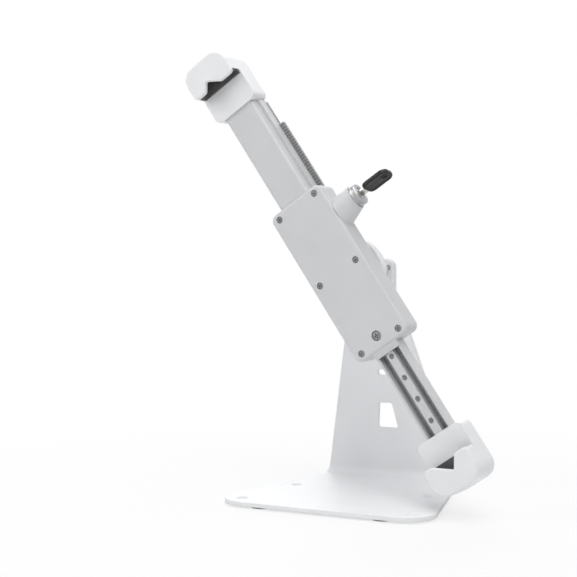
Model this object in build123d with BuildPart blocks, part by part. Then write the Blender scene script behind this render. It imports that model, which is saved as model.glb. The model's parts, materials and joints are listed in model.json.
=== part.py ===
from build123d import *
from math import cos, radians, sin, sqrt, tan
import os

# A lockable corner clamp on a bent sheet stand. Millimetres, X to the right, Y to the rear, Z up.
# The origin lies under the middle of the base's hole pattern, on the surface that the stand rests on.

# Stand: one bent steel sheet, with heights measured from the top face of the base
sheet = 3.0
pad_height = 1.5
pad_radius = 9.0
base_front = 51.0
foot_half = 59.5
front_half = 92.0
front_corner = 24.0
bend_radius = 6.0
lean = 15.9
tab_below = 15.85
tab_above = 9.65
tab_behind = 13.4
tab_half = 19.6
tab_corner = 6.0
base_holes = [(69.85, -34.0), (57.0, 34.0)]
base_hole_radius = 2.75
base_sink_radius = 4.6
foot_pads_at = [(50.0, -39.0), (44.0, 82.0)]
window_bottom = 43.0
window_top = 64.0
window_bottom_half = 9.0
window_top_half = 5.7
window_corner = 1.6
tie_hole_height = 90.0
tie_hole_width = 7.5
tie_hole_tall = 4.5

# Axes of the head: the swivel runs front to rear, the tilt bolt runs left to right
axis_height = 173.85
tilt_axis = 44.5
arm_angle = 55.6

# Clamp housing, with depths measured forward from the middle of the hole pattern
housing_length = 135.0
housing_width = 50.5
housing_corner = 6.0
cover_front = 10.0
parting = 6.0
housing_rear = -15.3
front_edge = 2.4
rear_edge = 4.5
rear_wall = 2.0
collar_length = 4.8
collar_front = 9.0
collar_end = 7.3
collar_gap = 0.3

# Upper arm, a channel open to the rear, and its fits
arm_half = 14.25
arm_wide_half = 16.6
arm_front = 8.2
arm_step = 0.0
arm_rear = -10.6
arm_cavity_half = 11.4
arm_web = 1.6
arm_edge = 3.0
arm_inner_end = -24.0
arm_insert = 24.0
slide_gap = 0.25
arm_stop = 52.0

# Ratchet rack on the rear of the arm, with its teeth towards the front
rack_thick = 2.2
rack_inner = 11.9
rack_strip_edge = 17.2
rack_outer = 20.8
tooth_pitch = 2.5
tooth_height = 1.5
teeth = 41
rack_teeth_start = -130.5
tooth_base = 0.1
rack_strip_start = -153.0
rack_screws_at = (-146.0, -92.0, -36.0)
rack_screw_across = 14.45

# Lower rail
rail_half = 11.0
rail_front = 6.4
rail_rear = -6.0
rail_wall = 1.6
rib_half = 3.3
rib_front = 5.6
bead_at = 6.35
bead_width = 1.0
bead_height = 3.0
rail_hole_radius = 2.25
rail_hole_pitch = 18.75
rail_holes = 6
rail_screw_at = 57.0
rail_margin = 6.0
rail_insert = 24.0
rail_gap = 0.1

# Key lock on the right side of the housing
lock_at = -42.8
lock_depth = -2.65
boss_base_at = -39.7
boss_base_radius = 12.6
boss_top = 40.8
boss_top_radius = 9.9
barrel_head_radius = 9.0
barrel_head_end = 46.4
barrel_radius = 8.0
barrel_groove_radius = 7.0
barrel_inner = 21.2
plug_radius = 5.0
plug_inner = 22.8
barrel_floor_hole = 2.6
plug_face = 45.8
keyway_floor = 1.0
shaft_gap = 0.05
tail_side = 3.0
clip_inner = 22.6
clip_thick = 1.2
clip_half = 9.6
clip_tall = 16.2
clip_shift = -0.2
clip_corner = 2.0
clip_side_gap = 1.4
clip_rear_gap = 0.4
cam_radius = 4.0
cam_inner = 17.9
cam_outer = 20.5
cam_turn = -45.0
key_turn = 75.0
blade_width = 8.0
blade_thick = 1.8
keyway_gap = 0.1
blade_tip = 27.0
bow_start = 51.5
bow_overlap = 4.0
bow_shoulder = 5.0
bow_end = 75.0
bow_width = 16.0
bow_neck_width = 10.0
bow_thick = 3.4
bow_end_corner = 7.0
bow_shoulder_corner = 4.0
bow_edge = 0.7
key_hole_from_end = 5.5
key_hole_radius = 1.8

# Locking pawl
pawl_half = 7.0
pawl_inner = 17.4
pawl_outer = 20.6
pawl_front = 4.0
pawl_window_half = 5.3
pawl_gap = 0.15
pawl_rest_gap = 0.3
pawl_mesh_gap = 0.2
pawl_flank_gap = 0.12

# Corner brackets, measured outward along the arm from the corner that each one holds
lower_corner_at = 180.8
upper_corner_at = 196.0
corner_offset = 4.6
lip_front = 25.5
lip_thick = 3.4
seat_front = 10.3
block_rear = -13.0
lip_inner = -18.5
lip_outer = 6.0
seat_outer = 6.6
block_outer = 7.0
lip_over_rail = 9.0
block_over_rail = 9.2
outer_corner = 11.5
inner_corner = 3.2
neck_corner = 5.0
lower_neck = 37.8
upper_neck = 40.7
overlap_side = 6.6
lower_overlap_end = 5.7
upper_overlap_end = 8.7
slot_reach = 90.0
lining = 1.5
lip_round = 1.2
block_round = 3.0
notch_corner = 1.5
lining_inset = 0.8
bracket_screw_depth = 7.0
core_wall = 2.4
core_rib = 1.2
core_side_wall = 2.6
core_outer = 3.6
core_top = 6.5
core_corner = 1.5
socket_gap = 0.05
socket_over = 0.2
lower_screw_steps = (16.0, 5.0)
lower_head_sink = 1.0
lower_head_gap = 0.3
upper_screw_steps = (5.0, 17.0)
upper_screw_side = 14.1
upper_head_sink = 0.8
upper_head_gap = 0.2

# Swivel and tilt head
hub_radius = 27.0
hub_rear_radius = 24.0
hub_front = 16.0
hub_land = 22.0
hub_rear = 27.5
flange_rear = 31.0
swivel_radius = 5.0
swivel_head_radius = 9.0
swivel_head = 2.7
disc_radius = 20.0
nut_half = 8.0
nut_thick = 5.0
spring_washer = 1.2
spring_washer_radius = 9.5
nut_pocket_radius = 11.0
hub_rim = 1.2
bolt_recess = 0.4
swivel_socket = 4.0
swivel_socket_floor = 0.7
screw_ring = 18.5
ring_screw_depth = 5.0
knuckle_half = 8.0
knuckle_radius = 8.8
knuckle_neck_half = 7.0
yoke_plate = 3.5
yoke_half = 18.2
yoke_height = 23.0
yoke_screw_side = 15.0
yoke_screws_from_axis = (-8.85, 2.65)
ear_thick = 4.0
ear_radius = 9.0
washer = 0.5
washer_radius = 7.5
flat_gap = 0.05
tilt_bolt_radius = 3.0
tilt_head_half = 5.0
tilt_head = 4.0
tilt_nut_thick = 5.0
tilt_bolt_tip = 1.5

# Screws: shank radius, head radius, head height
small_screw = (1.5, 2.6, 1.5)
rail_screw = (2.0, 3.9, 1.9)
yoke_screw = (2.0, 3.8, 2.2)
rack_screw = (1.25, 2.2, 0.8)
cam_screw_size = (0.8, 2.6, 0.8)
screw_gap = 0.1
screw_tip_room = 0.5
head_drop = 0.3
cover_screw_length = 6.2
rail_screw_bite = 6.0
rack_screw_length = 6.0
cam_screw_length = 3.4
lower_bracket_screw_length = 11.0
upper_bracket_screw_length = 8.0
cover_screw_side = 18.1
cover_screw_pitch = 61.8

# Run by which a shape reaches into its neighbour or past it
bite = 0.5
run_past = 10.0

os.makedirs("parts", exist_ok=True)

# Directions and planes shared by the pieces
base_top = pad_height + sheet
axis_z = base_top + axis_height
forward = Vector(0, -1, 0)
along = Vector(cos(radians(arm_angle)), 0, -sin(radians(arm_angle)))
across = Vector(sin(radians(arm_angle)), 0, cos(radians(arm_angle)))
centre = Vector(0, 0, axis_z)
tab_bottom = axis_height - tab_below
tab_top = axis_height + tab_above
tab_face = tilt_axis + tab_behind
foot_rear = tab_face + tab_bottom * tan(radians(lean))
through_stand = -(foot_rear + run_past)
housing_half = housing_length / 2
side_half = housing_width / 2
lip_half = rail_half + lip_over_rail
block_half = rail_half + block_over_rail
seat_half = block_half
core_half = block_half - core_side_wall
inner_rear = housing_rear + rear_wall
rack_rear = arm_rear - rack_thick
tooth_root = arm_rear + tooth_base
tooth_tip = tooth_root + tooth_height
pawl_stroke = tooth_height + pawl_rest_gap - pawl_mesh_gap
cam_throw = pawl_stroke / sqrt(2)


def face(depth, at=0.0, offset=0.0):
    """Plane of the clamp's front: X runs along the arms, Y across them, Z forward."""
    origin = centre + along * at + across * offset + forward * depth
    return Plane(origin, x_dir=along, z_dir=forward)


def section(at):
    """Plane across the arms at a distance from the swivel axis: X runs across, Y forward."""
    return Plane(centre + along * at, x_dir=across, z_dir=along)


def side(offset):
    """Plane along the arms that faces across them, centred on the lock: X along, Y to the rear."""
    origin = centre + along * lock_at + forward * lock_depth + across * offset
    return Plane(origin, x_dir=along, z_dir=across)


def jaw_face(end, corner_at, depth):
    """Plane of a corner bracket: X runs outward along its arm from the corner that it holds."""
    origin = centre + along * (end * corner_at) + forward * depth
    return Plane(origin, x_dir=along * end, z_dir=forward)


def save(piece, name):
    """Labels a finished piece and writes it to its file."""
    piece.part.label = name
    export_step(piece.part, "parts/" + name + ".step")


def screw_set(plane, places, screw, length):
    """Pan-head screws on a plane: heads stand on it, shanks run into it."""
    shank_radius, head_radius, head_height = screw
    with BuildPart() as screws:
        with BuildSketch(plane):
            with Locations(*places):
                Circle(head_radius)
        extrude(amount=head_height)
        with BuildSketch(plane):
            with Locations(*places):
                Circle(shank_radius)
        extrude(amount=-length)
    return screws


# Stand sheet: the side view gives the bends, the plan and the front view trim its edges
with BuildPart() as stand_sheet:
    with BuildSketch(Plane.YZ):
        with BuildLine():
            FilletPolyline(
                (-base_front, base_top),
                (foot_rear, base_top),
                (tab_face, base_top + tab_bottom),
                (tab_face, base_top + tab_top),
                radius=bend_radius,
            )
            offset(amount=sheet, side=Side.RIGHT)
        make_face()
    extrude(amount=front_half + run_past, both=True)
    trim_start = foot_rear - 2 * bend_radius
    with BuildSketch(Plane.XY):
        Polygon(
            (-front_half, -base_front),
            (front_half, -base_front),
            (foot_half, trim_start),
            (foot_half, foot_rear + run_past),
            (-foot_half, foot_rear + run_past),
            (-foot_half, trim_start),
            align=None,
        )
    extrude(amount=base_top + tab_top + run_past, mode=Mode.INTERSECT)
    with BuildSketch(Plane.XZ):
        Polygon(
            (-front_half - run_past, 0),
            (front_half + run_past, 0),
            (front_half + run_past, base_top),
            (foot_half, base_top),
            (tab_half, base_top + tab_bottom),
            (tab_half, base_top + tab_top),
            (-tab_half, base_top + tab_top),
            (-tab_half, base_top + tab_bottom),
            (-foot_half, base_top),
            (-front_half - run_past, base_top),
            align=None,
        )
    extrude(amount=foot_rear + run_past, both=True, mode=Mode.INTERSECT)
    upright_edges = stand_sheet.edges().filter_by(Axis.Z)
    fillet(upright_edges.group_by(Axis.Y)[0], front_corner)
    tab_edges = stand_sheet.edges().filter_by(Axis.Y).group_by(Axis.Z)[-1]
    fillet(tab_edges, tab_corner)
    with Locations(Plane.XY.offset(base_top)):
        with Locations(*[(end * x, y) for x, y in base_holes for end in (-1, 1)]):
            CounterSinkHole(base_hole_radius, base_sink_radius)
    with BuildSketch(Plane.XZ):
        Polygon(
            (-window_bottom_half, base_top + window_bottom),
            (window_bottom_half, base_top + window_bottom),
            (window_top_half, base_top + window_top),
            (-window_top_half, base_top + window_top),
            align=None,
        )
        fillet(vertices(), window_corner)
        with Locations((0, base_top + tie_hole_height)):
            SlotOverall(tie_hole_width, tie_hole_tall)
    extrude(amount=through_stand, mode=Mode.SUBTRACT)
    yoke_sides = (-yoke_screw_side, yoke_screw_side)
    yoke_places = [(x, axis_z + rise) for x in yoke_sides for rise in yoke_screws_from_axis]
    with BuildSketch(Plane.XZ):
        with Locations(*yoke_places):
            Circle(yoke_screw[0] + screw_gap)
    extrude(amount=through_stand, mode=Mode.SUBTRACT)
save(stand_sheet, "stand_sheet")

with BuildPart() as foot_pads:
    with BuildSketch(Plane.XY):
        with Locations(*[(end * x, y) for x, y in foot_pads_at for end in (-1, 1)]):
            Circle(pad_radius)
    extrude(amount=pad_height)
    chamfer(foot_pads.edges().group_by(Axis.Z)[0], 0.5)
save(foot_pads, "foot_pads")

# Tilt yoke: a plate on the tab with two ears round the tilt bolt
ear_inner = knuckle_half + washer + 2 * flat_gap
ear_outer = ear_inner + ear_thick
plate_middle = base_top + (tab_bottom + tab_top) / 2
plate_front = tab_face - yoke_plate
with BuildPart() as tilt_yoke:
    with BuildSketch(Plane(origin=(0, tab_face, plate_middle), x_dir=(1, 0, 0), z_dir=(0, -1, 0))):
        RectangleRounded(2 * yoke_half, yoke_height, 3)
    extrude(amount=yoke_plate)
    with BuildSketch(Plane.YZ.offset(ear_inner)):
        with Locations((tilt_axis, axis_z)):
            Circle(ear_radius)
        ear_run = plate_front - tilt_axis
        with Locations((tilt_axis + (ear_run + bite) / 2, axis_z)):
            Rectangle(ear_run + bite, 2 * ear_radius)
    extrude(amount=ear_thick)
    mirror(about=Plane.YZ)
    with BuildSketch(Plane.YZ):
        with Locations((tilt_axis, axis_z)):
            Circle(tilt_bolt_radius + shaft_gap)
    extrude(amount=yoke_half, both=True, mode=Mode.SUBTRACT)
    with BuildSketch(Plane.XZ):
        with Locations(*yoke_places):
            Circle(yoke_screw[0] + screw_gap)
    extrude(amount=through_stand, mode=Mode.SUBTRACT)
save(tilt_yoke, "tilt_yoke")

yoke_back = Plane(origin=(0, tab_face + sheet, 0), x_dir=(-1, 0, 0), z_dir=(0, 1, 0))
yoke_screws = screw_set(yoke_back, yoke_places, yoke_screw, sheet + yoke_plate)
save(yoke_screws, "yoke_screws")

# Tilt bolt with its nut, and the friction washers between the ears and the knuckle
with BuildPart() as tilt_bolt:
    with BuildSketch(Plane.YZ.offset(-ear_outer)):
        with Locations((tilt_axis, axis_z)):
            Circle(tilt_bolt_radius)
    extrude(amount=2 * ear_outer + tilt_nut_thick + tilt_bolt_tip)
    with BuildSketch(Plane.YZ.offset(-ear_outer)):
        with Locations((tilt_axis, axis_z)):
            Circle(tilt_head_half)
    extrude(amount=-tilt_head)
    chamfer(tilt_bolt.edges().group_by(Axis.X)[0], 1.0)
    with BuildSketch(Plane.YZ.offset(-ear_outer - tilt_head)):
        with Locations((tilt_axis, axis_z)):
            RegularPolygon(tilt_head_half / 2, 6)
    extrude(amount=tilt_head / 2, mode=Mode.SUBTRACT)
save(tilt_bolt, "tilt_bolt")

with BuildPart() as tilt_nut:
    with BuildSketch(Plane.YZ.offset(ear_outer)):
        with Locations((tilt_axis, axis_z)):
            RegularPolygon(tilt_head_half, 6, major_radius=False)
            Circle(tilt_bolt_radius + shaft_gap, mode=Mode.SUBTRACT)
    extrude(amount=tilt_nut_thick)
    chamfer(tilt_nut.edges().group_by(Axis.X)[-1].filter_by(GeomType.LINE), 0.5)
save(tilt_nut, "tilt_nut")

with BuildPart() as tilt_washers:
    with BuildSketch(Plane.YZ.offset(knuckle_half + flat_gap)):
        with Locations((tilt_axis, axis_z)):
            Circle(washer_radius)
            Circle(tilt_bolt_radius + shaft_gap, mode=Mode.SUBTRACT)
    extrude(amount=washer)
    mirror(about=Plane.YZ)
save(tilt_washers, "tilt_washers")

# Tilt knuckle: a flange behind the hub and a barrel round the tilt bolt
ring_turns = [radians(45 + quarter) for quarter in (0, 90, 180, 270)]
ring = [(screw_ring * cos(turned), screw_ring * sin(turned)) for turned in ring_turns]
with BuildPart() as tilt_knuckle:
    with BuildSketch(Plane(origin=(0, flange_rear, axis_z), x_dir=(1, 0, 0), z_dir=(0, -1, 0))):
        Circle(hub_rear_radius)
    extrude(amount=flange_rear - hub_rear)
    chamfer(tilt_knuckle.edges().group_by(Axis.Y)[-1], 1.2)
    with BuildSketch(Plane.YZ):
        with Locations((tilt_axis, axis_z)):
            Circle(knuckle_radius)
        neck_run = tilt_axis - flange_rear
        with Locations((flange_rear + (neck_run - bite) / 2, axis_z)):
            Rectangle(neck_run + bite, 2 * knuckle_neck_half)
    extrude(amount=knuckle_half, both=True)
    with BuildSketch(Plane.YZ):
        with Locations((tilt_axis, axis_z)):
            Circle(tilt_bolt_radius + shaft_gap)
    extrude(amount=knuckle_half, both=True, mode=Mode.SUBTRACT)
    with BuildSketch(Plane(origin=(0, hub_rear, axis_z), x_dir=(1, 0, 0), z_dir=(0, -1, 0))):
        with Locations(*ring):
            Circle(small_screw[0] + screw_gap)
    extrude(amount=-(flange_rear - hub_rear), mode=Mode.SUBTRACT)
save(tilt_knuckle, "tilt_knuckle")

knuckle_plane = Plane(origin=(0, flange_rear, axis_z), x_dir=(-1, 0, 0), z_dir=(0, 1, 0))
knuckle_screws = screw_set(knuckle_plane, ring, small_screw, flange_rear - hub_rear + ring_screw_depth)
save(knuckle_screws, "knuckle_screws")

# Swivel hub: a round boss with a recess for the swivel nut in its rear
with BuildPart() as swivel_hub:
    with BuildSketch(Plane.YZ):
        with BuildLine():
            Polyline(
                (hub_front, axis_z + swivel_radius + shaft_gap),
                (hub_front, axis_z + hub_radius),
                (hub_land, axis_z + hub_radius),
                (hub_rear, axis_z + hub_rear_radius + hub_rim),
                (hub_rear, axis_z + nut_pocket_radius),
                (hub_rear - nut_thick - spring_washer, axis_z + nut_pocket_radius),
                (hub_rear - nut_thick - spring_washer, axis_z + swivel_radius + shaft_gap),
                close=True,
            )
        make_face()
    revolve(axis=Axis((0, 0, axis_z), (0, 1, 0)))
    chamfer(swivel_hub.edges().filter_by(GeomType.CIRCLE).group_by(Axis.Y)[0].sort_by(SortBy.RADIUS)[-1], 1.0)
    with BuildSketch(knuckle_plane):
        with Locations(*ring):
            Circle(small_screw[0] + screw_gap)
    extrude(amount=-(flange_rear - hub_rear + ring_screw_depth + screw_tip_room), mode=Mode.SUBTRACT)
save(swivel_hub, "swivel_hub")

# Swivel bolt with its head inside the arm's channel, friction disc, spring washer and nut
nut_face = hub_rear - nut_thick
bolt_start = inner_rear + flat_gap
with BuildPart() as swivel_bolt:
    with BuildSketch(face(bolt_start)):
        Circle(swivel_head_radius)
    extrude(amount=swivel_head)
    with BuildSketch(face(bolt_start)):
        Circle(swivel_radius)
    extrude(amount=-(hub_rear - bolt_recess + bolt_start))
    chamfer(swivel_bolt.edges().group_by(Axis.Y)[0], 0.8)
    with BuildSketch(face(bolt_start + swivel_head)):
        RegularPolygon(swivel_socket, 6)
    extrude(amount=swivel_socket_floor - swivel_head, mode=Mode.SUBTRACT)
save(swivel_bolt, "swivel_bolt")

with BuildPart() as swivel_disc:
    with BuildSketch(face(housing_rear - flat_gap)):
        Circle(disc_radius)
        Circle(swivel_radius + shaft_gap, mode=Mode.SUBTRACT)
    extrude(amount=-(hub_front + housing_rear - 2 * flat_gap))
save(swivel_disc, "swivel_disc")

with BuildPart() as swivel_spring_washer:
    with BuildSketch(face(-(nut_face - spring_washer) - flat_gap)):
        Circle(spring_washer_radius)
        Circle(swivel_radius + shaft_gap, mode=Mode.SUBTRACT)
    extrude(amount=-(spring_washer - 2 * flat_gap))
save(swivel_spring_washer, "swivel_spring_washer")

with BuildPart() as swivel_nut:
    with BuildSketch(face(-nut_face)):
        RegularPolygon(nut_half, 6, major_radius=False)
        Circle(swivel_radius + shaft_gap, mode=Mode.SUBTRACT)
    extrude(amount=bolt_recess / 2 - nut_thick)
save(swivel_nut, "swivel_nut")

# Back cover: a moulded shell with a stepped guide for the arm, a seat for the rail and the lock boss
pocket_half = pawl_half + pawl_gap
clip_pocket_half = clip_half + clip_side_gap
pawl_pocket_front = lock_depth - parting
pawl_pocket_rear = lock_depth - inner_rear
cover_seat = cover_front - small_screw[2] - head_drop
cover_screw_tip = cover_seat - cover_screw_length
with BuildPart() as back_cover:
    with BuildSketch(face(parting)):
        RectangleRounded(housing_length, housing_width, housing_corner)
    extrude(amount=-(parting - housing_rear))
    fillet(back_cover.edges().group_by(Axis.Y)[-1], rear_edge)
    with BuildSketch(side(side_half - rear_edge)):
        with Locations((boss_base_at - lock_at, 0)):
            Circle(boss_base_radius)
        with Locations((boss_base_at - lock_at, pawl_pocket_front)):
            front_half_align = (Align.CENTER, Align.MAX)
            Rectangle(3 * boss_base_radius, boss_base_radius, align=front_half_align, mode=Mode.SUBTRACT)
    extrude(amount=rear_edge + flat_gap)
    with BuildSketch(side(side_half + flat_gap)):
        with Locations((boss_base_at - lock_at, 0)):
            Circle(boss_base_radius)
    with BuildSketch(side(boss_top)):
        Circle(boss_top_radius)
    loft()
    with BuildSketch(section(-housing_half)):
        with Locations((0, (parting + arm_step - slide_gap) / 2)):
            Rectangle(2 * (arm_half + slide_gap), parting - arm_step + slide_gap)
        with Locations((0, (arm_step + slide_gap + inner_rear) / 2)):
            Rectangle(2 * (arm_wide_half + slide_gap), arm_step + slide_gap - inner_rear)
        rack_top = tooth_tip + slide_gap
        with Locations(((rack_outer + slide_gap) / 2, (rack_top + inner_rear) / 2)):
            Rectangle(rack_outer + slide_gap, rack_top - inner_rear)
    extrude(amount=housing_half + arm_stop, mode=Mode.SUBTRACT)
    with BuildSketch(section(arm_stop)):
        with Locations((0, (parting + rail_rear - rail_gap) / 2)):
            Rectangle(2 * (rail_half + rail_gap), parting - rail_rear + rail_gap)
    extrude(amount=housing_half - arm_stop, mode=Mode.SUBTRACT)
    with BuildSketch(side(arm_wide_half)):
        with Locations((0, (pawl_pocket_front + pawl_pocket_rear) / 2)):
            Rectangle(2 * pocket_half, pawl_pocket_rear - pawl_pocket_front)
    extrude(amount=pawl_outer + pawl_gap - arm_wide_half, mode=Mode.SUBTRACT)
    with BuildSketch(side(pawl_outer + pawl_gap)):
        clip_pocket_rear = clip_half + clip_rear_gap
        with Locations((0, (pawl_pocket_front + clip_pocket_rear) / 2)):
            Rectangle(2 * clip_pocket_half, clip_pocket_rear - pawl_pocket_front)
    extrude(amount=clip_inner + clip_thick + 2 * flat_gap - pawl_outer - pawl_gap, mode=Mode.SUBTRACT)
    with BuildSketch(side(pawl_outer)):
        Circle(barrel_radius + shaft_gap)
    extrude(amount=boss_top - pawl_outer, mode=Mode.SUBTRACT)
    with BuildSketch(face(housing_rear)):
        Circle(swivel_radius + shaft_gap)
    extrude(amount=rear_wall, mode=Mode.SUBTRACT)
    with BuildSketch(face(parting)):
        with GridLocations(cover_screw_pitch, 2 * cover_screw_side, 3, 2):
            Circle(small_screw[0] + screw_gap)
    extrude(amount=cover_screw_tip - screw_tip_room - parting, mode=Mode.SUBTRACT)
    with BuildSketch(face(rail_rear, rail_screw_at)):
        Circle(rail_screw[0] + screw_gap)
    extrude(amount=-(rail_screw_bite + screw_tip_room), mode=Mode.SUBTRACT)
save(back_cover, "back_cover")

# Front cover: a flat shell with a rounded front edge and a sloping collar over the start of the rail
collar_half = rail_half + collar_gap
collar_start = housing_half - front_edge
with BuildPart() as front_cover:
    with BuildSketch(face(parting)):
        RectangleRounded(housing_length, housing_width, housing_corner)
    extrude(amount=cover_front - parting)
    fillet(front_cover.edges().group_by(Axis.Y)[0], front_edge)
    with BuildSketch(Plane(centre - across * collar_half, x_dir=along, z_dir=across)):
        Polygon(
            (collar_start, -rail_front - rail_gap),
            (housing_half + collar_length, -rail_front - rail_gap),
            (housing_half + collar_length, -collar_end),
            (housing_half - bite, -collar_front),
            (collar_start, -collar_front),
            align=None,
        )
    extrude(amount=2 * collar_half)
    with BuildSketch(section(-housing_half)):
        with Locations((0, (parting + arm_front + slide_gap) / 2)):
            Rectangle(2 * (arm_half + slide_gap), arm_front + slide_gap - parting)
    extrude(amount=housing_half + arm_stop, mode=Mode.SUBTRACT)
    with BuildSketch(section(arm_stop)):
        with Locations((0, (parting + rail_front + rail_gap) / 2)):
            Rectangle(2 * (rail_half + rail_gap), rail_front + rail_gap - parting)
    extrude(amount=housing_half - arm_stop, mode=Mode.SUBTRACT)
    with Locations(face(cover_front)):
        with GridLocations(cover_screw_pitch, 2 * cover_screw_side, 3, 2):
            CounterBoreHole(
                small_screw[0] + screw_gap,
                small_screw[1] + screw_gap,
                small_screw[2] + head_drop,
            )
        with Locations((rail_screw_at, 0)):
            CounterBoreHole(rail_screw[0] + screw_gap, rail_screw[1] + screw_gap, rail_screw[2] + head_drop)
save(front_cover, "front_cover")

cover_sides = (-cover_screw_side, cover_screw_side)
cover_places = [(step * cover_screw_pitch, p) for step in (-1, 0, 1) for p in cover_sides]
cover_screws = screw_set(face(cover_seat), cover_places, small_screw, cover_screw_length)
save(cover_screws, "cover_screws")

rail_seat = cover_front - rail_screw[2] - head_drop
rail_screw_length = rail_seat - rail_rear + rail_screw_bite
rail_lock_screw = screw_set(face(rail_seat), [(rail_screw_at, 0)], rail_screw, rail_screw_length)
save(rail_lock_screw, "rail_lock_screw")

# Lower rail: side walls, two channels with a bead each, and a raised rib with a row of holes
rail_start = rail_screw_at - rail_hole_pitch - rail_margin
rail_end = lower_corner_at - lower_neck + rail_insert
lower_screw_places = [(rail_end - step, 0) for step in lower_screw_steps]
with BuildPart() as lower_rail:
    with BuildSketch(section(rail_start)):
        with Locations((0, (rail_front + rail_rear) / 2)):
            Rectangle(2 * rail_half, rail_front - rail_rear)
        with Locations((0, (rail_front + rail_rear + rail_wall) / 2)):
            Rectangle(2 * (rail_half - rail_wall), rail_front - rail_rear - rail_wall, mode=Mode.SUBTRACT)
        with Locations((0, (rib_front + rail_rear) / 2)):
            Rectangle(2 * rib_half, rib_front - rail_rear)
        bead_middle = rail_rear + rail_wall + (bead_height - bite) / 2
        with Locations((-bead_at, bead_middle), (bead_at, bead_middle)):
            Rectangle(bead_width, bead_height + bite)
    extrude(amount=rail_end - rail_start)
    with BuildSketch(face(rib_front, rail_start + rail_margin)):
        with Locations(*[(k * rail_hole_pitch, 0) for k in range(rail_holes)]):
            Circle(rail_hole_radius)
    extrude(amount=-(rib_front - rail_rear), mode=Mode.SUBTRACT)
    with BuildSketch(face(rail_rear)):
        with Locations(*lower_screw_places):
            Circle(rail_screw[0] + screw_gap)
    extrude(amount=bracket_screw_depth, mode=Mode.SUBTRACT)
save(lower_rail, "lower_rail")

# Upper arm: a stepped channel, narrow in front and wide behind
arm_start = -(upper_corner_at - upper_neck + arm_insert)
upper_sides = (-upper_screw_side, upper_screw_side)
upper_screw_places = [(arm_start + step, p) for step in upper_screw_steps for p in upper_sides]
rack_screw_places = [(s, rack_screw_across) for s in rack_screws_at]
with BuildPart() as upper_arm:
    with BuildSketch(section(arm_start)):
        with Locations((0, (arm_front + arm_step) / 2)):
            Rectangle(2 * arm_half, arm_front - arm_step)
        fillet(vertices().group_by(Axis.Y)[-1], arm_edge)
        with Locations((0, (arm_step + arm_rear) / 2)):
            Rectangle(2 * arm_wide_half, arm_step - arm_rear)
        with Locations((0, (arm_front - arm_web + arm_rear) / 2)):
            Rectangle(2 * arm_cavity_half, arm_front - arm_web - arm_rear, mode=Mode.SUBTRACT)
    extrude(amount=arm_inner_end - arm_start)
    with BuildSketch(face(arm_rear)):
        with Locations(*rack_screw_places):
            Circle(rack_screw[0] + screw_gap)
    extrude(amount=rack_screw_length, mode=Mode.SUBTRACT)
    with BuildSketch(face(arm_rear)):
        with Locations(*upper_screw_places):
            Circle(small_screw[0] + screw_gap)
    extrude(amount=bracket_screw_depth, mode=Mode.SUBTRACT)
save(upper_arm, "upper_arm")

# Ratchet rack: a flat strip behind the arm whose teeth stand clear of the arm's side
tooth_end = rack_teeth_start + teeth * tooth_pitch
rear_of = {"tip": lock_depth - tooth_tip, "root": lock_depth - tooth_root, "back": lock_depth - rack_rear}
tooth_line = []
for number in range(teeth):
    start = rack_teeth_start + number * tooth_pitch - lock_at
    tooth_line.append((start, rear_of["tip"]))
    tooth_line.append((start + tooth_pitch, rear_of["root"]))
with BuildPart() as ratchet_rack:
    with BuildSketch(side(rack_strip_edge - bite)):
        with BuildLine():
            Polyline(
                *tooth_line,
                (tooth_end - lock_at, rear_of["back"]),
                (rack_teeth_start - lock_at, rear_of["back"]),
                close=True,
            )
        make_face()
    extrude(amount=rack_outer - rack_strip_edge + bite)
    with BuildSketch(face(rack_rear)):
        strip_length = tooth_end - rack_strip_start
        with Locations(((tooth_end + rack_strip_start) / 2, (rack_inner + rack_strip_edge) / 2)):
            Rectangle(strip_length, rack_strip_edge - rack_inner)
    extrude(amount=rack_thick)
    with BuildSketch(face(rack_rear)):
        with Locations(*rack_screw_places):
            Circle(rack_screw[0] + screw_gap)
    extrude(amount=rack_thick, mode=Mode.SUBTRACT)
    with BuildSketch(face(rack_rear)):
        with Locations(*rack_screw_places):
            Circle(rack_screw[1] + screw_gap)
    extrude(amount=rack_screw[2] + screw_gap, mode=Mode.SUBTRACT)
save(ratchet_rack, "ratchet_rack")

rack_seat = rack_rear + rack_screw[2] + screw_gap
rack_plane = Plane(centre + forward * rack_seat, x_dir=along, z_dir=forward * -1)
rack_back_places = [(s, -p) for s, p in rack_screw_places]
rack_screws = screw_set(rack_plane, rack_back_places, rack_screw, rack_screw_length)
save(rack_screws, "rack_screws")


def jaw_corner(grow_side, grow_end):
    """Corner point, on a bracket's plane, of the square that the held corner fills."""
    turn = radians(arm_angle)
    corner_x = grow_side * cos(turn) + grow_end * sin(turn)
    corner_y = corner_offset + grow_side * sin(turn) - grow_end * cos(turn)
    return corner_x, corner_y


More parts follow.
